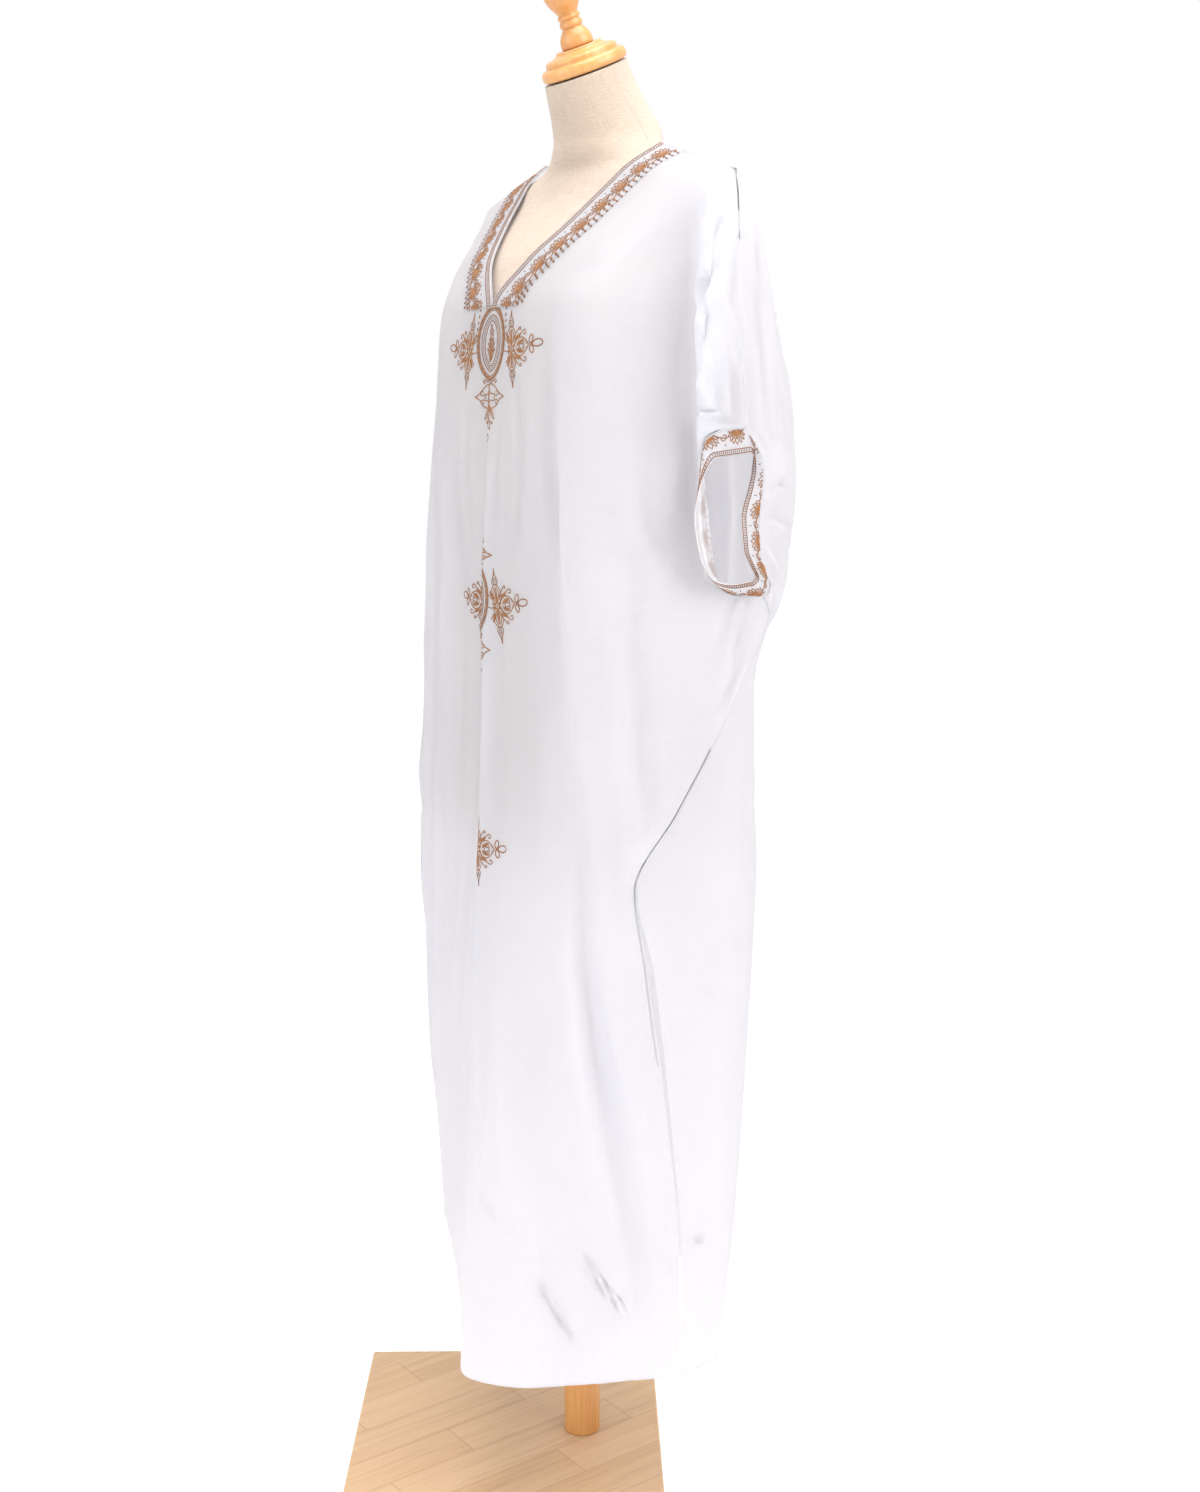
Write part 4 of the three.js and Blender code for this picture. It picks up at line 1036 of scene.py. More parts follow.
def profile_points(profile, pieces=4):
    """The profile with curved runs between its sharp corners."""
    points = np.array([row[:2] for row in profile], float)
    sharp = [row[2] for row in profile]
    out = [points[0]]
    for i in range(len(points) - 1):
        if sharp[i] and sharp[i + 1]:
            out.append(points[i + 1])
            continue
        before = points[i + 1] - points[i] if sharp[i] else (points[i + 1] - points[i - 1]) / 2
        after = points[i + 1] - points[i] if sharp[i + 1] else (points[i + 2] - points[i]) / 2
        for k in range(1, pieces + 1):
            out.append(hermite(points[i], points[i + 1], before, after, k / pieces))
    return np.array(out)


def lathe(name, profile, centre, tilt=0.0, sides=TURNED_SIDES):
    """A turned piece on its own axis, which leans forward by tilt degrees."""
    outline = profile_points(profile) if len(profile[0]) == 3 else np.array(profile, float)
    inner = outline[1:-1]
    angles = np.arange(sides) * 2 * math.pi / sides
    rings = np.stack([inner[:, 0, None] * np.cos(angles), inner[:, 0, None] * np.sin(angles),
                      np.repeat(inner[:, 1, None], sides, axis=1)], axis=2).reshape(-1, 3)
    points = np.concatenate([rings, [[0, 0, outline[0, 1]], [0, 0, outline[-1, 1]]]])
    faces = ring_faces(len(inner), sides)
    last = (len(inner) - 1) * sides
    for c in range(sides):
        faces.append((len(rings), (c + 1) % sides, c))
        faces.append((len(rings) + 1, last + c, last + (c + 1) % sides))
    lean = math.radians(tilt)
    turn = np.array([[1, 0, 0], [0, math.cos(lean), -math.sin(lean)], [0, math.sin(lean), math.cos(lean)]])
    piece = new_mesh(name, points @ turn.T + np.array(centre), faces)
    sharpen(piece, 34)
    return piece


def sharpen(piece, degrees):
    """Edges that turn by more than so many degrees are shaded sharp."""
    piece.data.set_sharp_from_angle(angle=math.radians(degrees))


def form_ring(z_at, columns):
    middle, a, b, power, tilt = (float(track(z_at)) for track in columns)
    angles = np.arange(FORM_TURNS) * 2 * math.pi / FORM_TURNS
    shape = lambda v: np.sign(v) * np.abs(v) ** (2 / power)
    x, y = a * shape(np.cos(angles)), b * shape(np.sin(angles))
    lean = math.radians(tilt)
    return np.stack([x, middle + y * math.cos(lean), z_at + y * math.sin(lean)], axis=1)


class KAFTAN_OT_form(bpy.types.Operator):
    """Builds the limbless torso with its linen cover"""
    bl_idname = "kaftan.form"
    bl_label = "Dress form"

    def execute(self, context):
        rows = list(zip(*FORM_RINGS))
        columns = [Track(rows[0], rows[i]) for i in range(1, 6)]
        low, high = FORM_RINGS[0][0], FORM_RINGS[-1][0]
        share = np.linspace(0, 1, FORM_LEVELS)
        levels = low + (high - low) * (1 - (1 - share) ** 1.25)
        rings = np.array([form_ring(z, columns) for z in levels])
        edge = rings[0] * np.array([0.965, 0.965, 1])
        rings = np.concatenate([edge[None], rings])
        rings[1:, :, :2] *= 1 - 0.012 * np.exp(-((rings[1:, :, 2:] - low) / 5) ** 2)
        around = np.linalg.norm(np.diff(rings[60], axis=0), axis=1).mean()
        uv = np.array([[[c * around, z] for c in range(FORM_TURNS)] for z in np.concatenate([[low], levels])])
        points = rings.reshape(-1, 3)
        faces = ring_faces(len(rings), FORM_TURNS)
        points = np.concatenate([points, [rings[0].mean(axis=0), rings[-1].mean(axis=0)]])
        last = (len(rings) - 1) * FORM_TURNS
        for c in range(FORM_TURNS):
            faces.append((len(points) - 2, (c + 1) % FORM_TURNS, c))
            faces.append((len(points) - 1, last + c, last + (c + 1) % FORM_TURNS))
        flat_uv = np.concatenate([uv.reshape(-1, 2), [[0, 0], [0, 0]]])
        form = new_mesh("form_linen", points, faces, flat_uv)
        finish_piece(form, linen_finish(), "linen", "form_body")
        return {"FINISHED"}


class KAFTAN_OT_turned_head(bpy.types.Operator):
    """Builds the turned neck cap and the finial that stands on it"""
    bl_idname = "kaftan.turned_head"
    bl_label = "Neck cap and finial"

    def execute(self, context):
        colour = tuple(context.scene.kaftan_stand.wood)
        deep = (colour[0] * 0.78, colour[1] * 0.66, colour[2] * 0.55)
        lean = math.radians(NECK_TILT)
        y, z = CAP_CENTRE
        cap = lathe("neck_cap_wood", CAP_PROFILE, (0, y, z), NECK_TILT)
        rise = 26 + SEAM_GAP
        seat = (0, y - math.sin(lean) * rise, z + math.cos(lean) * rise)
        finial = lathe("finial_wood", FINIAL_PROFILE, seat, NECK_TILT)
        place = dict(turn=(-lean, 0, 0), gloss=0.3, coat=0.5)
        cap_wood = wood_finish("varnished cap wood", colour, deep, 1.3, move=(0.02, 0.05, 0), **place)
        finish_piece(cap, cap_wood, "wood", "neck_cap")
        finial_wood = wood_finish("varnished finial wood", colour, deep, 1.5, move=(0.07, 0.01, 0), **place)
        finish_piece(finial, finial_wood, "wood", "finial")
        return {"FINISHED"}


class KAFTAN_OT_pole_and_board(bpy.types.Operator):
    """Builds the pole and the square base board of glued strips"""
    bl_idname = "kaftan.pole_and_board"
    bl_label = "Pole and base board"

    def execute(self, context):
        stand = context.scene.kaftan_stand
        wood, board = tuple(stand.wood), tuple(stand.board)
        foot, head = BASE["thick"] + SEAM_GAP, FORM_FOOT_Z - SEAM_GAP
        rod = [(0, foot), (POLE_R - 0.7, foot), (POLE_R - 0.1, foot + 0.5), (POLE_R, foot + 1.4)]
        rod += [(POLE_R, foot + (head - foot) * k / 24) for k in range(1, 24)]
        rod += [(POLE_R, head - 1), (POLE_R - 0.6, head), (0, head)]
        pole = lathe("pole_wood", rod, (0, 0, 0))
        deep = (wood[0] * 0.72, wood[1] * 0.60, wood[2] * 0.50)
        material = wood_finish("pole wood", wood, deep, 2.2, move=(0.31, 0.11, 0), gloss=0.45, coat=0.15)
        finish_piece(pole, material, "wood", "pole")
        slab = self.slab()
        deep = (board[0] * 0.84, board[1] * 0.72, board[2] * 0.58)
        turn = math.radians(BASE["turn"])
        grain = (math.pi / 2, 0, -turn + math.pi / 2)
        material = wood_finish("glued board wood", board, deep, 0.8, turn=grain, move=(0.2, 0.2, 0.1),
                               gloss=0.5, coat=0.12, strips=(0.047, 0.31))
        finish_piece(slab, material, "pale_wood", "base_board")
        return {"FINISHED"}

    def slab(self):
        half, thick, round_edge = BASE["size"] / 2, BASE["thick"], 2.6
        turn = math.radians(BASE["turn"])
        cos, sin = math.cos(turn), math.sin(turn)
        off_r, off_t = BASE["off_r"], BASE["off_t"]
        centre = np.array([off_r * cos + off_t * sin, off_r * sin - off_t * cos, 0])
        steps = [(round_edge * (1 - math.sin(a)), round_edge * (1 - math.cos(a)))
                 for a in (k * math.pi / 12 for k in range(7))]
        levels = steps + [(inset, thick - down) for inset, down in reversed(steps)]
        levels = set((round(inset, 5), round(height, 5)) for inset, height in levels)
        levels = sorted(levels, key=lambda level: level[1])
        corner = 4
        rings = []
        for inset, height in levels:
            ring = []
            for qx, qy, start in ((1, 1, 0), (-1, 1, 90), (-1, -1, 180), (1, -1, 270)):
                for k in range(7):
                    a = math.radians(start + 15 * k)
                    reach = max(corner - inset, 0.4)
                    ring.append((qx * (half - corner) + reach * math.cos(a),
                                 qy * (half - corner) + reach * math.sin(a)))
            rings.append([(x * cos - y * sin, x * sin + y * cos, height) for x, y in ring])
        sides = len(rings[0])
        points = np.array(rings).reshape(-1, 3) + centre
        faces = ring_faces(len(rings), sides)
        last = (len(rings) - 1) * sides
        faces.append(tuple(reversed(range(sides))))
        faces.append(tuple(range(last, last + sides)))
        slab = new_mesh("base_board_wood", points, faces)
        sharpen(slab, 30)
        return slab


# ---- the dress --------------------------------------------------------------------------------------

BAND_COLUMN = BORDER_STEPS + len(EDGE_STOPS)
BAND_LIFT = 1.2
BAND_THICK = 0.8
BAND_INSET = 0.6
CUFF_THICK = 1.5
CUFF_STEPS = 14


class KAFTAN_OT_panels(bpy.types.Operator):
    """Builds the front and back panels with their folds and creases"""
    bl_idname = "kaftan.panels"
    bl_label = "Front and back panels"

    def execute(self, context):
        front, back = sewn_panels()
        cuts = {"front": ((0.78, 1.32), 0.80, front), "back": ((0.79, 1.34), 0.86, back)}
        for name, (flat, area, panel) in cuts.items():
            piece = new_mesh(f"{name}_cloth", panel.points, panel.faces, panel.uv)
            piece.data.normals_split_custom_set_from_vertices(panel.normals.tolist())
            thicken(piece, context.scene.kaftan_cloth.thickness)
            finish_piece(piece, cloth_finish(), "cloth", f"{name}_panel")
        return {"FINISHED"}


class KAFTAN_OT_cuffs(bpy.types.Operator):
    """Builds the band round each sleeve opening"""
    bl_idname = "kaftan.cuffs"
    bl_label = "Cuff bands"

    def execute(self, context):
        for side, hand in ((LEFT, "left"), (RIGHT, "right")):
            grid, faces, uv, _ = cuff_surface(side)
            piece = new_mesh(f"cuff_band_{hand}_cloth", grid.reshape(-1, 3), faces, uv)
            thicken(piece, CUFF_THICK * MM)
            finish_piece(piece, cloth_finish(), "border", f"cuff_band_{hand}")
        return {"FINISHED"}


@lru_cache(maxsize=None)
def cuff_surface(side):
    """A cuff's rings from its seam to its free edge, rounded a little outwards."""
    drops = cloth_rows()
    drops = drops[(drops >= CUFF_TOP - 0.01) & (drops <= CUFF_FOOT + 0.01)]
    shares = np.linspace(0, 1, CUFF_STEPS + 1)
    grid = cuff_grid(side, drops, shares)
    rows, columns = grid.shape[:2]
    around = np.concatenate([[0], np.cumsum(np.linalg.norm(np.diff(grid[:, columns // 2], axis=0), axis=1))])
    steps = np.linalg.norm(np.diff(grid, axis=1), axis=2)
    width = np.concatenate([np.zeros((rows, 1)), np.cumsum(steps, axis=1)], axis=1)
    uv = np.stack([np.repeat(around[:, None], columns, axis=1), width], axis=2)
    faces = np.array(ring_faces(rows, columns, closed=False))
    closing = [((rows - 1) * columns + c, (rows - 1) * columns + c + 1, c + 1, c) for c in range(columns - 1)]
    faces = np.concatenate([faces, np.array(closing)])
    normals = point_normals(grid.reshape(-1, 3), faces).reshape(grid.shape)
    middle = grid.reshape(-1, 3).mean(axis=0)
    if np.sum(normals * (grid - middle)) < 0:
        faces, normals = faces[:, ::-1], -normals
    swell = 0.8 * np.sin(math.pi * shares)[None, :, None]
    wave, fade = np.sin(around * 2 * math.pi / 6.5), np.exp(-(shares * 5) ** 2)
    pucker = 0.35 * wave[:, None, None] * fade[None, :, None]
    grid = grid + normals * (swell + pucker)
    return grid, faces, uv.reshape(-1, 2), normals


class KAFTAN_OT_neck_bands(bpy.types.Operator):
    """Builds the strip that carries the border along each side of the V"""
    bl_idname = "kaftan.neck_bands"
    bl_label = "Neck border strips"

    def execute(self, context):
        front, _ = sewn_panels()
        for side, hand in ((LEFT, "left"), (RIGHT, "right")):
            half = front.halves[side]
            rows = half.drops <= V_DEPTH + 0.01
            out = half.normals[rows, :BAND_COLUMN + 1]
            grid = half.grid[rows, :BAND_COLUMN + 1] + out * BAND_LIFT
            way = grid[:, 1] - grid[:, 0]
            grid[:, 0] += way / np.linalg.norm(way, axis=1, keepdims=True) * BAND_INSET
            grid[:, -1] -= half.normals[rows, BAND_COLUMN] * 0.25
            count, columns = grid.shape[:2]
            ids = np.arange(count * columns).reshape(count, columns)
            uv = np.stack([side * half.along[rows, :BAND_COLUMN + 1],
                           np.repeat(half.drops[rows, None], columns, axis=1)], axis=2).reshape(-1, 2)
            faces = quads(ids, False)
            if np.sum(point_normals(grid.reshape(-1, 3), faces) * out.reshape(-1, 3)) < 0:
                faces = quads(ids, True)
            piece = new_mesh(f"neck_band_{hand}_cloth", grid.reshape(-1, 3), faces, uv)
            thicken(piece, BAND_THICK * MM)
            finish_piece(piece, cloth_finish(), "border", f"neck_band_{hand}")
        return {"FINISHED"}


# ---- thread: stitches laid along paths ------------------------------------------------------------------

def stitch_tree():
    """Lays a stitch at every pitch of each path, turned by the path and by the cloth's way out."""
    tree = bpy.data.node_groups.new("laid stitches", "GeometryNodeTree")
    face = tree.interface
    face.new_socket("Geometry", in_out="INPUT", socket_type="NodeSocketGeometry")
    for name, default in (("Pitch", 0.0009), ("Thread", 0.0005), ("Height", 0.0005), ("Slant", 0.0)):
        socket = face.new_socket(name, in_out="INPUT", socket_type="NodeSocketFloat")
        socket.default_value = default
    face.new_socket("Material", in_out="INPUT", socket_type="NodeSocketMaterial")
    face.new_socket("Geometry", in_out="OUTPUT", socket_type="NodeSocketGeometry")

    def node(kind, settings=None, **links):
        made = tree.nodes.new(kind)
        for key, value in (settings or {}).items():
            setattr(made, key, value)
        for key, value in links.items():
            socket = made.inputs[int(key[1:])] if key[1:].isdigit() else made.inputs[key.replace("_", " ")]
            if isinstance(value, bpy.types.NodeSocket):
                tree.links.new(value, socket)
            else:
                socket.default_value = value
        return made

    start = node("NodeGroupInput").outputs
    named = "GeometryNodeInputNamedAttribute"
    out_of_cloth = node(named, {"data_type": "FLOAT_VECTOR"}, Name="out").outputs[0]
    half = node(named, {"data_type": "FLOAT"}, Name="half_width").outputs[0]
    curve = node("GeometryNodeMeshToCurve", Mesh=start["Geometry"]).outputs[0]
    even = node("GeometryNodeResampleCurve", {"mode": "LENGTH"}, Curve=curve,
                Length=start["Pitch"]).outputs[0]
    tangent = node("GeometryNodeInputTangent").outputs[0]
    across = node("ShaderNodeVectorMath", {"operation": "CROSS_PRODUCT"}, _0=out_of_cloth,
                  _1=tangent).outputs[0]
    slanted = node("ShaderNodeVectorRotate", {"rotation_type": "AXIS_ANGLE"}, Vector=across,
                   Axis=out_of_cloth, Angle=start["Slant"]).outputs[0]
    upright = node("FunctionNodeAlignRotationToVector", {"axis": "Z"}, Vector=out_of_cloth).outputs[0]
    turned = node("FunctionNodeAlignRotationToVector", {"axis": "X", "pivot_axis": "Z"}, Rotation=upright,
                  Vector=slanted).outputs[0]
    size = node("ShaderNodeCombineXYZ", _0=half, _1=start["Thread"], _2=start["Height"]).outputs[0]
    stitch = node("GeometryNodeMeshUVSphere", Segments=6, Rings=3, Radius=1.0).outputs[0]
    laid = node("GeometryNodeInstanceOnPoints", Points=even, Instance=stitch, Rotation=turned,
                Scale=size).outputs[0]
    solid = node("GeometryNodeRealizeInstances", Geometry=laid).outputs[0]
    rounded = node("GeometryNodeSetShadeSmooth", Geometry=solid).outputs[0]
    dressed = node("GeometryNodeSetMaterial", Geometry=rounded, Material=start["Material"]).outputs[0]
    tree.links.new(dressed, node("NodeGroupOutput").inputs[0])
    return tree


def run_tree(piece, tree, **values):
    """Turns the piece's mesh into what the tree makes of it."""
    worked = piece.modifiers.new("laid stitches", "NODES")
    worked.node_group = tree
    for item in tree.interface.items_tree:
        if item.in_out == "INPUT" and item.name in values:
            worked[item.identifier] = values[item.name]
    bpy.context.view_layer.update()
    shown = bpy.context.evaluated_depsgraph_get()
    made = bpy.data.meshes.new_from_object(piece.evaluated_get(shown), depsgraph=shown)
    piece.modifiers.clear()
    old, piece.data = piece.data, made
    bpy.data.meshes.remove(old)
    made.name = piece.name
    return piece


class Sewing:
    """Paths of thread on cloth. Each point has its place, the way out of the cloth and a half width."""

    def __init__(self):
        self.points, self.outs, self.widths, self.darks, self.edges = [], [], [], [], []

    def path(self, points, outs, widths, dark):
        first = len(self.points)
        count = len(points)
        self.points += [list(p) for p in points]
        self.outs += [list(n) for n in outs]
        self.widths += list(np.broadcast_to(widths, count) * 1.0)
        self.darks += list(np.broadcast_to(dark, count) * 1.0)
        self.edges += [(first + i, first + i + 1) for i in range(count - 1)]

    def sew(self, name, material, slot, tree, pitch, thread, height, slant):
        mesh = bpy.data.meshes.new(name)
        mesh.from_pydata((np.array(self.points) * MM).tolist(), self.edges, [])
        out = mesh.attributes.new("out", "FLOAT_VECTOR", "POINT")
        out.data.foreach_set("vector", np.array(self.outs).ravel())
        half = mesh.attributes.new("half_width", "FLOAT", "POINT")
        half.data.foreach_set("value", np.array(self.widths) * MM)
        dark = mesh.attributes.new("dark", "FLOAT", "POINT")
        dark.data.foreach_set("value", np.array(self.darks))
        piece = bpy.data.objects.new(name, mesh)
        bpy.context.scene.collection.objects.link(piece)
        run_tree(piece, tree, Pitch=pitch, Thread=thread, Height=height, Slant=slant, Material=material)
        return finish_piece(piece, material, slot)


@lru_cache(maxsize=None)
def thread_finish():
    """Lustrous embroidery thread, gold or brown by the stitch's own dark value."""
    thread = bpy.context.scene.kaftan_thread
    gold, brown = tuple(thread.gold), tuple(thread.brown)
    finish = Finish("embroidery thread", gold, 0.42, sheen_weight=0.3, sheen_roughness=0.4,
                    specular_ior_level=0.5)
    dark = finish.node("ShaderNodeAttribute", {"attribute_name": "dark"}, {})
    patch = finish.noise(finish.place((140, 140, 140)), detail=2.0)
    tone = finish.blend(dark[2], gold, brown)
    tone = finish.blend(patch.between(0.35, 0.7) * 0.35, tone, tuple(c * 1.3 for c in gold))
    finish.colour(tone)
    ply = finish.noise(finish.place((2600, 2600, 900)), detail=1.0)
    finish.bump(ply, 0.0002, 0.6)
    finish.rough(0.38 + patch * 0.15)
    return finish.material


@lru_cache(maxsize=None)
def white_thread_finish():
    """Cotton sewing thread in the cloth's own colour."""
    colour = tuple(c * 0.93 for c in bpy.context.scene.kaftan_cloth.colour)
    finish = Finish("white sewing thread", colour, 0.6, sheen_weight=0.2)
    ply = finish.noise(finish.place((2600, 2600, 900)), detail=1.0)
    finish.colour(finish.blend(ply, tuple(c * 0.9 for c in colour), colour))
    finish.bump(ply, 0.0002, 0.6)
    return finish.material


def laid_on_panel(panel, places, lift):
    """Points and ways out for places (across from the middle, drop) on a panel."""
    spots = [panel.lay(s, drop, lift) for s, drop in places]
    return np.array([spot[0] for spot in spots]), np.array([spot[1] for spot in spots])


# ---- embroidery: designs drawn in millimetres, then laid on the cloth -------------------------------------

def through(points, pieces=6):
    """A smooth line through points."""
    p = np.array(points, float)
    p = np.concatenate([[2 * p[0] - p[1]], p, [2 * p[-1] - p[-2]]])
    out = [p[1]]
    for i in range(1, len(p) - 2):
        for k in range(1, pieces + 1):
            t = k / pieces
            out.append(hermite(p[i], p[i + 1], (p[i + 1] - p[i - 1]) / 2, (p[i + 2] - p[i]) / 2, t))
    return np.array(out)


def oval(centre, rx, ry, start=0, sweep=360, turn=0, pieces=None):
    pieces = pieces or max(8, int(abs(sweep) / 14))
    a = np.radians(start + sweep * np.linspace(0, 1, pieces + 1))
    x, y = rx * np.cos(a), ry * np.sin(a)
    t = math.radians(turn)
    turned = [x * math.cos(t) - y * math.sin(t), x * math.sin(t) + y * math.cos(t)]
    return np.array(centre) + np.stack(turned, axis=1)


def curl(start, end, hook, side=1):
    """A tendril from start to end that rolls up at its end, hook wide."""
    start, end = np.array(start, float), np.array(end, float)
    way = end - start
    length = np.linalg.norm(way)
    way /= length
    out = np.array([-way[1], way[0]]) * side
    rows = [(0, 0), (0.35, 0.10), (0.7, 0.06)]
    points = [start + way * length * a + out * length * b for a, b in rows]
    centre = end - out * hook * 0.5
    for k, angle in enumerate((70, 20, -40, -110, -190)):
        a, r = math.radians(angle), hook * (0.62 - 0.09 * k)
        points.append(centre + way * r * math.cos(a) + out * r * math.sin(a))
    return through(points, 4)


class Design:
    """Strokes in a plane: each has its points, its half width and its darkness."""

    def __init__(self):
        self.strokes = []

    def line(self, points, width=0.55, dark=0.35):
        self.strokes.append((np.array(points, float), width, dark))

    def rope(self, points, width, beat=3):
        """Satin stitches that go from gold to brown and back."""
        points = np.array(points, float)
        dark = 0.5 + 0.5 * np.sign(np.sin(np.arange(len(points)) * math.pi / beat))
        self.strokes.append((points, width, dark * 0.75))

    def dot(self, at, radius, dark=0.9, way=(0, 1)):
        way = np.array(way, float) / np.linalg.norm(way)
        steps = np.linspace(-0.82, 0.82, 5)
        points = np.array([np.array(at, float) + way * radius * k for k in steps])
        self.strokes.append((points, radius * np.sqrt(1 - steps ** 2) * 1.05, dark))

    def petal(self, base, tip, belly, fill=0.0, dark=0.3, width=0.5):
        """A pointed petal in outline, with a satin tongue from its base for fill of its length."""
        base, tip = np.array(base, float), np.array(tip, float)
        way = tip - base
        out = np.array([-way[1], way[0]]) / np.linalg.norm(way)
        for side in (1, -1):
            rows = [(0, 0.25), (0.22, 0.82), (0.5, 1.0), (0.78, 0.62), (1, 0)]
            self.line(through([base + way * a + out * side * belly * b for a, b in rows], 4), width, dark)
        if fill:
            t = np.linspace(0.04, fill, 7)
            wide = belly * 0.62 * np.sin(math.pi * t / fill) ** 0.6 + 0.15
            self.strokes.append((base + way * t[:, None], wide, dark * 0.6))

    def added(self, other, turn=0, move=(0, 0), scale=(1, 1)):
        t = math.radians(turn)
        matrix = np.array([[math.cos(t), math.sin(t)], [-math.sin(t), math.cos(t)]])
        for points, width, dark in other.strokes:
            self.strokes.append(((points * np.array(scale)) @ matrix + np.array(move), width, dark))
        return self


@lru_cache(maxsize=None)
def lotus():
    """An open flower, 20 wide: its foot is at 0, 0 and its petals point along -Y."""
    flower = Design()
    flower.petal((0, -1), (0, -17), 2.9, 0.55)
    for side in (1, -1):
        flower.petal((side * 1.2, -1.2), (side * 5.6, -15.2), 2.4, 0.4)
        flower.petal((side * 2.0, -1.2), (side * 9.0, -11.6), 2.1, 0.4)
        flower.petal((side * 2.4, -0.6), (side * 10.4, -5.8), 1.7, 0.5, dark=0.6)
        flower.line(through([(0, 0.6), (side * 3.2, 1.0), (side * 6.6, -0.4), (side * 9.6, 0.6)]), 0.7, 0.5)
    flower.dot((0, 0.2), 1.7, 0.55)
    return flower


def neck_border_design(length, flowers):
    """A border along X: Y is the way from the edge of the V."""
    border = Design()
    run = np.arange(0.8, length - 0.5, 1.2)
    flat = lambda y: np.stack([run, np.full_like(run, y)], axis=1)
    border.line(flat(2.5), 0.55, 0.6)
    border.line(flat(8.2), 0.55, 0.6)
    for x in np.arange(1.6, length - 1, 2.9):
        border.dot((x, 5.35), 0.95, 0.95)
    pitch = length / flowers
    border.rope(flat(34.0) + np.array([0, 1]) * 0.5 * np.sin(run * 2 * math.pi / 6.9)[:, None], 0.95, 4)
    for k in range(flowers):
        middle = pitch * (k + 0.5)
        border.added(lotus(), move=(middle, 31.4))
        if k < flowers - 1:
            border.line(curl((middle + 8.5, 29.5), (middle + pitch * 0.5, 22.5), 4.5, -1), 0.55, 0.5)
            border.line(curl((middle + pitch - 8.5, 29.5), (middle + pitch * 0.5, 25.5), 4.5, 1), 0.55, 0.5)
            border.dot((middle + pitch * 0.5, 15.5), 1.0, 0.8)
    for k, x in enumerate(np.arange(3.0, length - 1, 6.9)):
        border.dot((x, 37.9), 1.9, 0.7 + 0.2 * (k % 2))
        border.dot((x + 0.3, 43.2), 1.6, 0.95)
    return border


@lru_cache(maxsize=None)
def medallion():
    """An oval, 54 by 76, with a roped rim, a ring of beads and a sprig."""
    oval_design = Design()
    oval_design.rope(oval((0, 0), 25.9, 37.0, pieces=150), 1.35, 3)
    oval_design.line(oval((0, 0), 27.9, 39.0, pieces=110), 0.5, 0.8)
    oval_design.line(oval((0, 0), 23.6, 34.6, pieces=100), 0.5, 0.7)
    oval_design.line(oval((0, 0), 19.6, 29.6, pieces=90), 0.6, 0.7)
    oval_design.line(oval((0, 0), 13.9, 23.6, pieces=80), 0.6, 0.6)
    beads = oval((0, 0), 16.8, 26.6, pieces=720)
    reach = np.concatenate([[0], np.cumsum(np.linalg.norm(np.diff(beads, axis=0), axis=1))])
    for at in np.linspace(0, reach[-1], 47)[:-1]:
        i = int(np.searchsorted(reach, at))
        oval_design.dot(beads[min(i, len(beads) - 1)], 1.05, 0.95)
    for side in (1, -1):
        for foot, tip in (((0, 19), (9.5, 5)), ((0, 14.5), (8, -1)), ((0, 9.5), (6, -5))):
            oval_design.petal((side * foot[0], foot[1]), (side * tip[0], tip[1]), 1.5, 0.5, 0.5)
        oval_design.line(curl((side * 0.4, 2), (side * 4.6, -8.5), 2.6, side), 0.5, 0.5)
        oval_design.line(oval((side * 2.9, -12.6), 2.3, 1.5, turn=side * -24), 0.5, 0.6)
    oval_design.petal((0, 6), (0, -7.5), 2.2, 0.6, 0.3)
    oval_design.line([(0, 18), (0, -10)], 0.5, 0.6)
    oval_design.line(oval((0, -17.2), 1.6, 2.6), 0.55, 0.6)
    return oval_design


@lru_cache(maxsize=None)
def onion_bud():
    """A bud from 0, 0 up to 0, -38, with a bead in its drawn-out tip."""
    bud = Design()
    for side in (1, -1):
        bulb = [(0, -2.5), (side * 5.6, -7), (side * 7.0, -12.5), (side * 4.6, -18), (side * 1.2, -21.5)]
        bud.line(through(bulb), 0.6, 0.3)
        bud.line(through([(0, -4), (side * 3.4, -8.5), (side * 3.9, -13), (side * 1.6, -18)]), 0.5, 0.2)
        tip = [(side * 1.6, -20.5), (side * 4.0, -23.5), (side * 3.0, -27.5), (side * 0.9, -31.5), (0, -38.5)]
        bud.line(through(tip), 0.6, 0.6)
    bud.petal((0, -5.5), (0, -17.5), 1.3, 0.7, 0.15)
    bud.line(oval((0, -25.6), 1.7, 2.1), 0.5, 0.7)
    bud.dot((0, -21.2), 1.0, 0.7)
    return bud


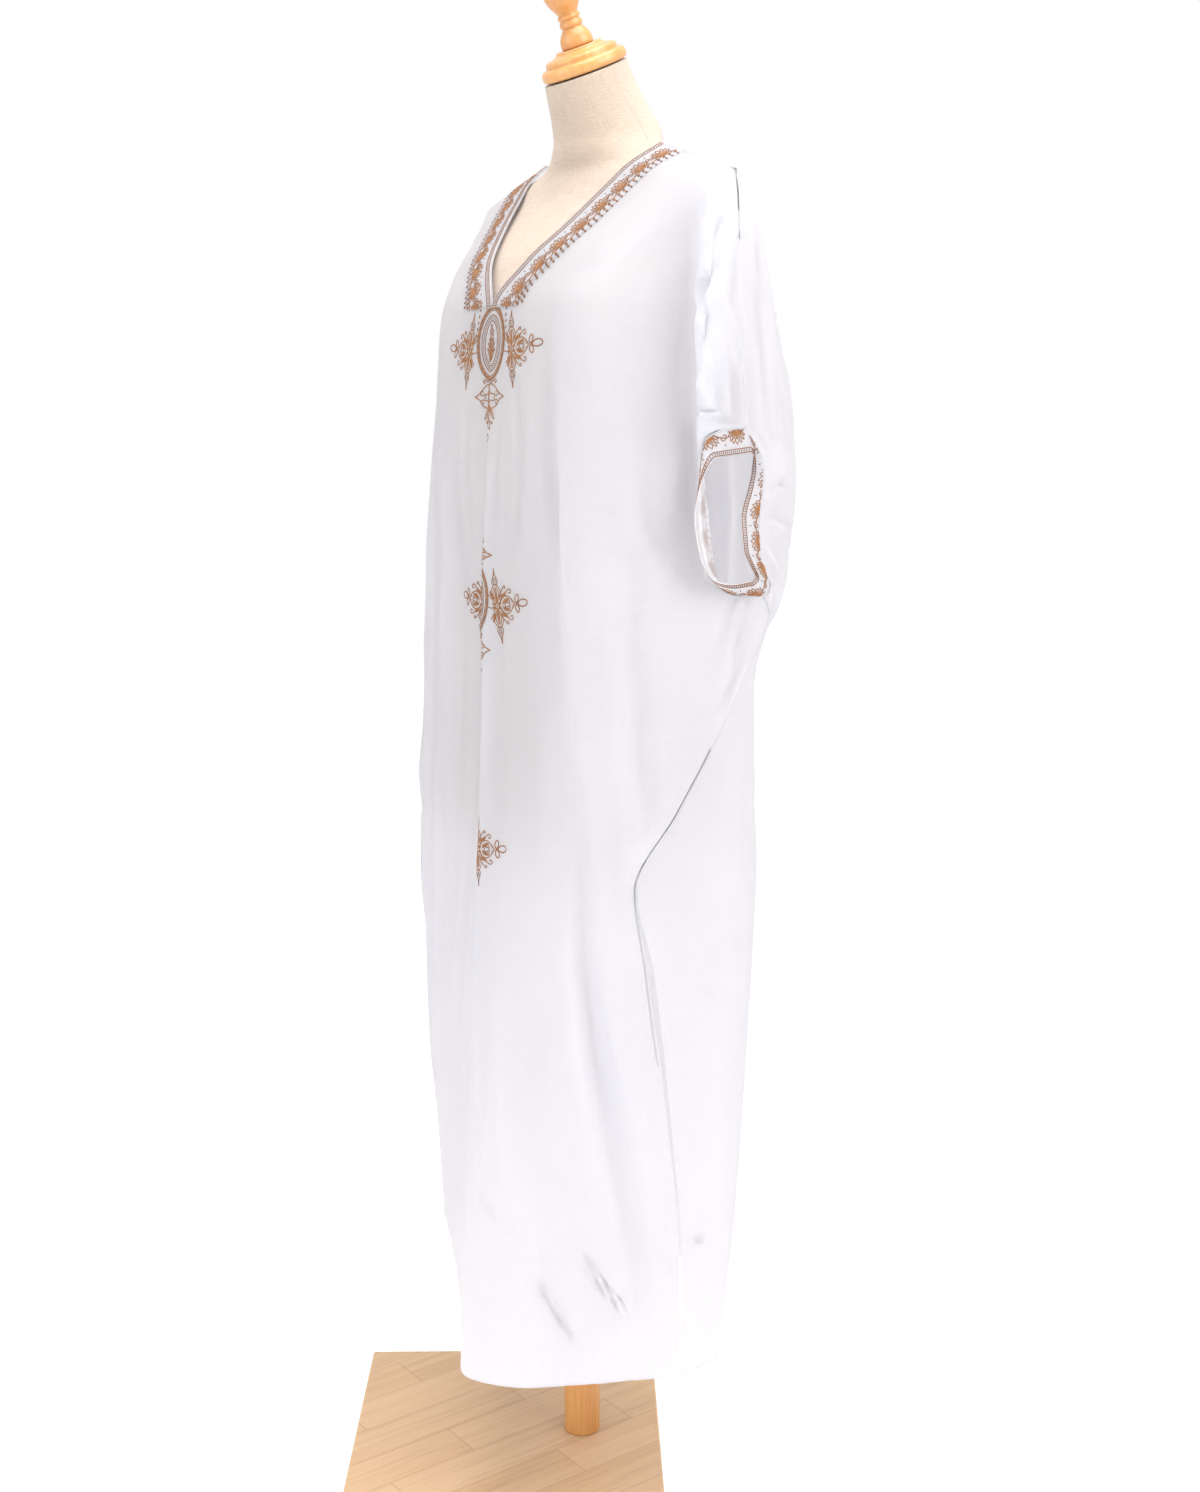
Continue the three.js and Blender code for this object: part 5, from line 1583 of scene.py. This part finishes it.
@lru_cache(maxsize=None)
def cross():
    """Four arms round a rosette: buds up and down, and an arm along X that ends in three loops."""
    arms = Design()
    arms.added(onion_bud(), move=(0, -2))
    arms.added(onion_bud(), move=(0, 2), scale=(1, -1))
    arms.line(oval((0, 0), 3.4, 3.4), 0.75, 0.3)
    arms.dot((0, 0), 1.5, 0.6)
    for k in range(6):
        a = math.radians(60 * k + 30)
        way = np.array([math.cos(a), math.sin(a)])
        arms.petal(3.0 * way, 7.2 * way, 1.3, 0.7, 0.2)
    for side in (1, -1):
        leaf = [(3.5, side * 1.5), (9, side * 7.6), (16, side * 9.6), (22.5, side * 6.2), (27.5, 0)]
        arms.line(through(leaf), 0.7, 0.35)
        arms.line(curl((8.5, side * 1.0), (18.5, side * 4.4), 3.6, side), 0.55, 0.55)
        arms.line(curl((20.5, side * 0.5), (13.5, side * 2.6), 2.4, -side), 0.5, 0.6)
        arms.line(oval((31.2, side * 5.2), 2.6, 4.4, turn=side * -16), 0.7, 0.45)
        arms.line(curl((5.5, side * 5.5), (20, side * 15.5), 5.0, side), 0.65, 0.35)
        arms.line(curl((4.0, side * 7.5), (13, side * 19.5), 3.2, side), 0.65, 0.35)
        arms.line(through([(-4, side * 4), (-8, side * 10), (-11, side * 13)]), 0.6, 0.4)
        arms.petal((9.5, side * 3.0), (19.5, side * 6.4), 1.6, 0.8, 0.25)
        arms.petal((7.5, side * 9.5), (15.5, side * 12.5), 1.5, 0.8, 0.3)
        arms.petal((-3.5, side * 8.5), (-8.5, side * 16.5), 1.4, 0.8, 0.3)
        arms.dot((24.0, side * 2.4), 1.2, 0.5)
    arms.line(oval((39.6, 0), 6.6, 3.7), 0.75, 0.45)
    arms.dot((31, 0), 1.7, 0.6)
    arms.line(through([(-3.5, 0), (-8, 1.5), (-13, 0)]), 0.6, 0.4)
    return arms


@lru_cache(maxsize=None)
def arabesque():
    """A diamond of scrolls that hangs from 0, 0, with leaves and a drawn-out tail."""
    hanging = Design()
    for side in (1, -1):
        hanging.line(curl((0, 4), (side * 8.5, -1.5), 3.4, -side), 0.65, 0.4)
        above = [(0, 3.5), (side * 5, 2.5), (side * 11, 7), (side * 15, 11.5), (side * 20.5, 15.5)]
        below = [(side * 20.5, 15.5), (side * 15.5, 19), (side * 12.5, 25), (side * 7, 28), (0, 32)]
        hanging.line(through(above), 0.7, 0.35)
        hanging.line(through(below), 0.7, 0.35)
        hanging.line(curl((side * 1.0, 10), (side * 11.5, 13.5), 5.2, side), 0.6, 0.35)
        hanging.line(curl((side * 1.0, 22), (side * 11.5, 19.5), 4.4, -side), 0.6, 0.35)
        hanging.dot((side * 9.2, 16.2), 1.5, 0.3)
        hanging.petal((side * 0.8, 25), (side * 10.8, 39.5), 2.2, 0.75, 0.25)
        hanging.line(curl((side * 1.2, 33), (side * 6.5, 43.5), 2.6, side), 0.6, 0.4)
        hanging.petal((0, 40), (side * 5.0, 50.5), 2.1, 0.3, 0.4)
    hanging.petal((0, 5), (0, 17), 2.0, 0.8, 0.2)
    hanging.petal((0, 16), (0, 31), 2.4, 0.8, 0.2)
    hanging.petal((0, 34), (0, 46), 1.5, 0.7, 0.3)
    hanging.line(through([(0, 46), (0.4, 50), (-0.6, 53.5), (0.8, 56)]), 0.55, 0.5)
    hanging.line(oval((0.6, 59), 2.5, 3.3), 0.65, 0.45)
    hanging.line([(0, 62.5), (-0.4, 66), (-0.6, 70.5)], 0.5, 0.5)
    return hanging


CROSS_AT = (41.5, 6.5)
CROSS_LEAN = 9.0
ARABESQUE_WIDE = 1.5            # how much wider the arabesque is laid than it is drawn
STROKE_BOLD = 1.22              # strokes are this much wider on the cloth than in the designs


def drop_beads():
    """Beads in a line down each side of the medallion's top."""
    beads = Design()
    for side in (1, -1):
        for k in range(5):
            beads.dot((side * (24.5 + 1.3 * k), -36 + 6.6 * k), 1.5, 0.85)
    return beads


@lru_cache(maxsize=None)
def full_motif():
    """The medallion with a cross at each side and the arabesque below it."""
    motif = Design()
    motif.added(medallion())
    for side in (1, -1):
        leaning = Design().added(cross(), turn=-CROSS_LEAN)
        motif.added(leaning, move=(side * CROSS_AT[0], CROSS_AT[1]), scale=(side, 1))
    motif.added(arabesque(), move=(0, 40), scale=(ARABESQUE_WIDE, 1))
    return motif


def dense(points, step):
    """The line with points no further apart than step, and how far along it each lies."""
    points = np.array(points, float)
    gaps = np.linalg.norm(np.diff(points, axis=0), axis=1)
    run = np.concatenate([[0], np.cumsum(gaps)])
    count = max(2, int(math.ceil(run[-1] / step)) + 1)
    at = np.linspace(0, run[-1], count)
    return np.stack([np.interp(at, run, points[:, k]) for k in range(2)], axis=1), at, run


def lay_design(sewing, design, spot, allowed=lambda at: True):
    """Lays each stroke by spot, which turns a place in the design into a point and the way out there."""
    for points, width, dark in design.strokes:
        places, at, run = dense(points, 1.1)
        widths = np.interp(at, run, np.broadcast_to(width, len(run))) * STROKE_BOLD
        darks = np.interp(at, run, np.broadcast_to(dark, len(run)))
        keep = [allowed(place) for place in places]
        start = None
        for i in range(len(places) + 1):
            if i < len(places) and keep[i]:
                start = i if start is None else start
                continue
            if start is not None and i - start > 1:
                spots = [spot(place) for place in places[start:i]]
                sewing.path([s[0] for s in spots], [s[1] for s in spots], widths[start:i], darks[start:i])
            start = None


class VEdge:
    """Places by the way down the V's edge and the way out from it."""

    def __init__(self, panel, side):
        self.side = side
        half = panel.halves[side]
        rows = half.drops <= V_DEPTH + 0.01
        edge = half.grid[rows, 0]
        self.drops = half.drops[rows]
        self.reach = np.concatenate([[0], np.cumsum(np.linalg.norm(np.diff(edge, axis=0), axis=1))])
        self.length = self.reach[-1]
        down = np.gradient(edge, self.drops, axis=0)
        self.speed = np.linalg.norm(down, axis=1)
        way = half.grid[rows, 8] - edge
        way /= np.linalg.norm(way, axis=1, keepdims=True)
        self.lean = np.sum(way * down, axis=1) / self.speed

    def place(self, at):
        drop = np.interp(at[0], self.reach, self.drops)
        lean, speed = np.interp(drop, self.drops, self.lean), np.interp(drop, self.drops, self.speed)
        square = math.sqrt(1 - lean * lean)
        return self.side * at[1] / square, max(0.3, drop - at[1] * lean / (square * speed))


def thread_values():
    thread = bpy.context.scene.kaftan_thread
    return dict(pitch=thread.pitch, thread=0.62 * MM, height=thread.height, slant=0.35)


NECK_FLOWERS = 9
ON_BAND = BAND_LIFT + BAND_THICK / 2
ON_CLOTH = SHELL / 2


class KAFTAN_OT_neck_border(bpy.types.Operator):
    """Embroiders the border along both sides of the V"""
    bl_idname = "kaftan.neck_border"
    bl_label = "Neck border embroidery"

    def execute(self, context):
        front, _ = sewn_panels()
        tree = stitch_tree()
        for side, hand in ((LEFT, "left"), (RIGHT, "right")):
            edge = VEdge(front, side)
            sewing = Sewing()
            design = neck_border_design(edge.length, NECK_FLOWERS)

            def spot(at, edge=edge):
                s, drop = edge.place(at)
                return front.lay(s, drop, ON_BAND)

            inside = lambda at, edge=edge: edge.place(at)[1] <= V_DEPTH - 1 or at[1] < 12
            lay_design(sewing, design, spot, inside)
            sewing.sew(f"neck_border_stitches_{hand}", thread_finish(), "border", tree, **thread_values())
        return {"FINISHED"}


# Motifs down the front: middle across and drop, how much of each side the lap swallows, how
# tall the scrolls above stand against those below, and the sides that show.
MOTIFS = [
    (4.0, 207, {LEFT: 0, RIGHT: 0}, 0, (LEFT, RIGHT)),
    (0, 479, {LEFT: -5.5, RIGHT: 12.5}, 0.62, (LEFT, RIGHT)),
    (0, 750, {LEFT: 16, RIGHT: 0}, 0, (LEFT,)),
]
HIDDEN = 10                     # this near to the middle the cloth is inside the lap


class KAFTAN_OT_chest_motifs(bpy.types.Operator):
    """Embroiders the three motifs down the middle of the front"""
    bl_idname = "kaftan.chest_motifs"
    bl_label = "Motifs down the front"

    def execute(self, context):
        front, _ = sewn_panels()
        tree = stitch_tree()
        for number, (middle, drop, swallowed, above, sides) in enumerate(MOTIFS, 1):
            design = Design().added(full_motif())
            if number == 1:
                design.added(drop_beads())
            if above:
                design.added(arabesque(), move=(0, -38), scale=(ARABESQUE_WIDE, -above))
            sewing = Sewing()
            lapped = any(swallowed.values())

            def shown(at):
                side = LEFT if at[0] >= 0 else RIGHT
                return side in sides and (not lapped or abs(at[0]) - swallowed[side] > HIDDEN)

            def spot(at):
                side = LEFT if at[0] >= 0 else RIGHT
                return front.lay(at[0] + middle - side * swallowed[side], drop + at[1], ON_CLOTH)

            lay_design(sewing, design, spot, shown)
            sewing.sew(f"front_motif_{number}_stitches", thread_finish(), "border", tree, **thread_values())
        return {"FINISHED"}


CUFF_FLOWERS = 13
CUFF_SHRINK = 0.78


class KAFTAN_OT_cuff_border(bpy.types.Operator):
    """Embroiders the border round both cuffs"""
    bl_idname = "kaftan.cuff_border"
    bl_label = "Cuff border embroidery"

    def execute(self, context):
        tree = stitch_tree()
        for side, hand in ((LEFT, "left"), (RIGHT, "right")):
            grid, _, _, normals = cuff_surface(side)
            grid = np.concatenate([grid, grid[:1]])
            normals = np.concatenate([normals, normals[:1]])
            middle = grid[:, grid.shape[1] // 2]
            around = np.concatenate([[0], np.cumsum(np.linalg.norm(np.diff(middle, axis=0), axis=1))])
            width = np.linalg.norm(grid[:, -1] - grid[:, 0], axis=1)
            columns = np.arange(grid.shape[1])

            def spot(at):
                row = np.interp(at[0], around, np.arange(len(around)))
                i = min(int(row), len(around) - 2)
                t = row - i
                wide = width[i] * (1 - t) + width[i + 1] * t
                column = np.clip((1 - at[1] / max(wide, 12)), 0, 1) * columns[-1]
                at_row = lambda what, j: np.array([np.interp(column, columns, what[j, :, k])
                                                   for k in range(3)])
                pick = lambda what: sum(share * at_row(what, j) for j, share in ((i, 1 - t), (i + 1, t)))
                normal = pick(normals)
                normal /= np.linalg.norm(normal)
                return pick(grid) + normal * CUFF_THICK / 2, normal

            design = Design().added(neck_border_design(around[-1], CUFF_FLOWERS), scale=(1, CUFF_SHRINK))
            wide_at = lambda at: np.interp(at[0], around, width)
            sewing = Sewing()
            lay_design(sewing, design, spot, lambda at: at[1] < wide_at(at) - 0.8)
            sewing.sew(f"cuff_border_stitches_{hand}", thread_finish(), "border", tree, **thread_values())
        return {"FINISHED"}


HEM_TURNING = 17                # the hem stitches lie this far above the hem
SLIT_TURNING = 9                # and the slit stitches this far in from the slit
SEWING_STEP = 3.2


class KAFTAN_OT_sewing_lines(bpy.types.Operator):
    """Sews the hems and the slits with white thread"""
    bl_idname = "kaftan.sewing_lines"
    bl_label = "Hems and seams"

    def execute(self, context):
        front, back = sewn_panels()
        tree = stitch_tree()
        sewing = Sewing()
        for panel in (front, back):
            for side in (LEFT, RIGHT):
                half = panel.halves[side]
                whole = lambda drop: float(np.interp(drop, half.drops, half.along[:, -1]))
                drop = LENGTH - HEM_TURNING
                across = np.arange(0.5, whole(drop) - SLIT_TURNING, SEWING_STEP)
                places = [(side * s, drop) for s in across]
                self.stitch_row(sewing, panel, places)
                drops = np.arange(SLIT_TOP + 6, LENGTH - 18, SEWING_STEP)
                places = [(side * (whole(drop) - SLIT_TURNING), drop) for drop in drops]
                self.stitch_row(sewing, panel, places)
        sewing.sew("hem_stitches", white_thread_finish(), "cloth", tree, pitch=0.0032, thread=0.25 * MM,
                   height=0.22 * MM, slant=math.pi / 2)
        return {"FINISHED"}

    def stitch_row(self, sewing, panel, places):
        points, outs = laid_on_panel(panel, places, ON_CLOTH)
        sewing.path(points, outs, 1.15, 0.0)


# ---- stage ---------------------------------------------------------------------------------------

CAMERA_AT = (1.6425, -1.2101, 1.2254)
CAMERA_TURN = 53.0
CAMERA_DROP = 9.65
LENS = 43.43


class KAFTAN_OT_stage(bpy.types.Operator):
    """Sets the camera, the soft studio light and the pale floor"""
    bl_idname = "kaftan.stage"
    bl_label = "Camera, light and floor"

    def execute(self, context):
        scene = context.scene
        lens = bpy.data.cameras.new("camera")
        lens.sensor_fit = "VERTICAL"
        lens.sensor_height = 36
        lens.lens = LENS
        camera = bpy.data.objects.new("camera", lens)
        camera.location = CAMERA_AT
        camera.rotation_euler = (math.radians(90 - CAMERA_DROP), 0, math.radians(CAMERA_TURN))
        scene.collection.objects.link(camera)
        scene.camera = camera
        settings = scene.kaftan_light
        self.light("key", (2.7, 0.7, 2.5), (0, 0, 1.0), 2.4, settings.key)
        self.light("fill", (-0.6, -2.9, 1.9), (0, 0, 0.9), 2.2, settings.fill)
        self.light("top", (0.5, -0.3, 3.6), (0, 0, 0), 2.8, settings.top)
        self.surround(scene, settings.sky)
        self.floor()
        scene.view_settings.view_transform = "Standard"
        scene.view_settings.look = "None"
        return {"FINISHED"}

    def light(self, name, place, target, size, power):
        lamp = bpy.data.lights.new(name, "AREA")
        lamp.shape = "DISK"
        lamp.size = size
        lamp.energy = power
        holder = bpy.data.objects.new(name, lamp)
        way = np.array(target) - np.array(place)
        holder.location = place
        flat = math.hypot(way[0], way[1])
        holder.rotation_euler = (math.atan2(flat, -way[2]), 0, math.atan2(-way[0], way[1]))
        bpy.context.scene.collection.objects.link(holder)

    def surround(self, scene, brightness):
        world = bpy.data.worlds.new("pale surround")
        world.use_nodes = True
        tree = world.node_tree
        tree.nodes.clear()
        path = tree.nodes.new("ShaderNodeLightPath")
        white, soft = tree.nodes.new("ShaderNodeBackground"), tree.nodes.new("ShaderNodeBackground")
        white.inputs[0].default_value = (1, 1, 1, 1)
        white.inputs[1].default_value = 1.0
        soft.inputs[0].default_value = (0.98, 0.985, 1, 1)
        soft.inputs[1].default_value = brightness
        pick, end = tree.nodes.new("ShaderNodeMixShader"), tree.nodes.new("ShaderNodeOutputWorld")
        tree.links.new(path.outputs["Is Camera Ray"], pick.inputs[0])
        tree.links.new(soft.outputs[0], pick.inputs[1])
        tree.links.new(white.outputs[0], pick.inputs[2])
        tree.links.new(pick.outputs[0], end.inputs[0])
        scene.world = world

    def floor(self):
        half = 9000
        floor = new_mesh("floor", [(-half, -half, 0), (half, -half, 0), (half, half, 0), (-half, half, 0)],
                         [(0, 1, 2, 3)], smooth_faces=False)
        finish = Finish("pale floor", (0.95, 0.95, 0.955), 0.9, emission_color=(1, 1, 1, 1),
                        emission_strength=0.16)
        tone = finish.noise(finish.place((3, 3, 3)), detail=2.0)
        finish.colour(finish.blend(tone, (0.945, 0.945, 0.95), (0.955, 0.955, 0.96)))
        floor.data.materials.append(finish.material)


# ---- panel in the sidebar, and the run -------------------------------------------------------------

class KAFTAN_PT_sidebar(bpy.types.Panel):
    bl_label = "Kaftan dress"
    bl_idname = "KAFTAN_PT_sidebar"
    bl_space_type = "VIEW_3D"
    bl_region_type = "UI"
    bl_category = "Kaftan"

    def draw(self, context):
        for holder, names in SETTINGS_SHOWN.items():
            box = self.layout.box()
            for name in names:
                box.prop(getattr(context.scene, holder), name)
        for maker in MAKERS:
            self.layout.operator(maker.bl_idname)


SETTINGS = {"kaftan_cloth": KaftanClothSettings, "kaftan_thread": KaftanThreadSettings,
            "kaftan_stand": KaftanStandSettings, "kaftan_light": KaftanLightSettings}
SETTINGS_SHOWN = {
    "kaftan_cloth": ("colour", "thickness"),
    "kaftan_thread": ("gold", "brown", "pitch", "height"),
    "kaftan_stand": ("linen", "wood", "board"),
    "kaftan_light": ("key", "fill", "top", "sky"),
}
MAKERS = (KAFTAN_OT_stage, KAFTAN_OT_form, KAFTAN_OT_turned_head, KAFTAN_OT_pole_and_board, KAFTAN_OT_panels,
          KAFTAN_OT_cuffs, KAFTAN_OT_neck_bands, KAFTAN_OT_neck_border, KAFTAN_OT_chest_motifs,
          KAFTAN_OT_cuff_border, KAFTAN_OT_sewing_lines)


def register():
    for settings in SETTINGS.values():
        bpy.utils.register_class(settings)
    for maker in (*MAKERS, KAFTAN_PT_sidebar):
        bpy.utils.register_class(maker)
    for holder, settings in SETTINGS.items():
        setattr(bpy.types.Scene, holder, bpy.props.PointerProperty(type=settings))


def unregister():
    for holder in SETTINGS:
        delattr(bpy.types.Scene, holder)
    for maker in (KAFTAN_PT_sidebar, *reversed(MAKERS)):
        bpy.utils.unregister_class(maker)
    for settings in SETTINGS.values():
        bpy.utils.unregister_class(settings)


def main():
    register()
    bpy.ops.kaftan.stage()
    bpy.ops.kaftan.form()
    bpy.ops.kaftan.turned_head()
    bpy.ops.kaftan.pole_and_board()
    bpy.ops.kaftan.panels()
    bpy.ops.kaftan.cuffs()
    bpy.ops.kaftan.neck_bands()
    bpy.ops.kaftan.neck_border()
    bpy.ops.kaftan.chest_motifs()
    bpy.ops.kaftan.cuff_border()
    bpy.ops.kaftan.sewing_lines()


if __name__ == "__main__":
    main()
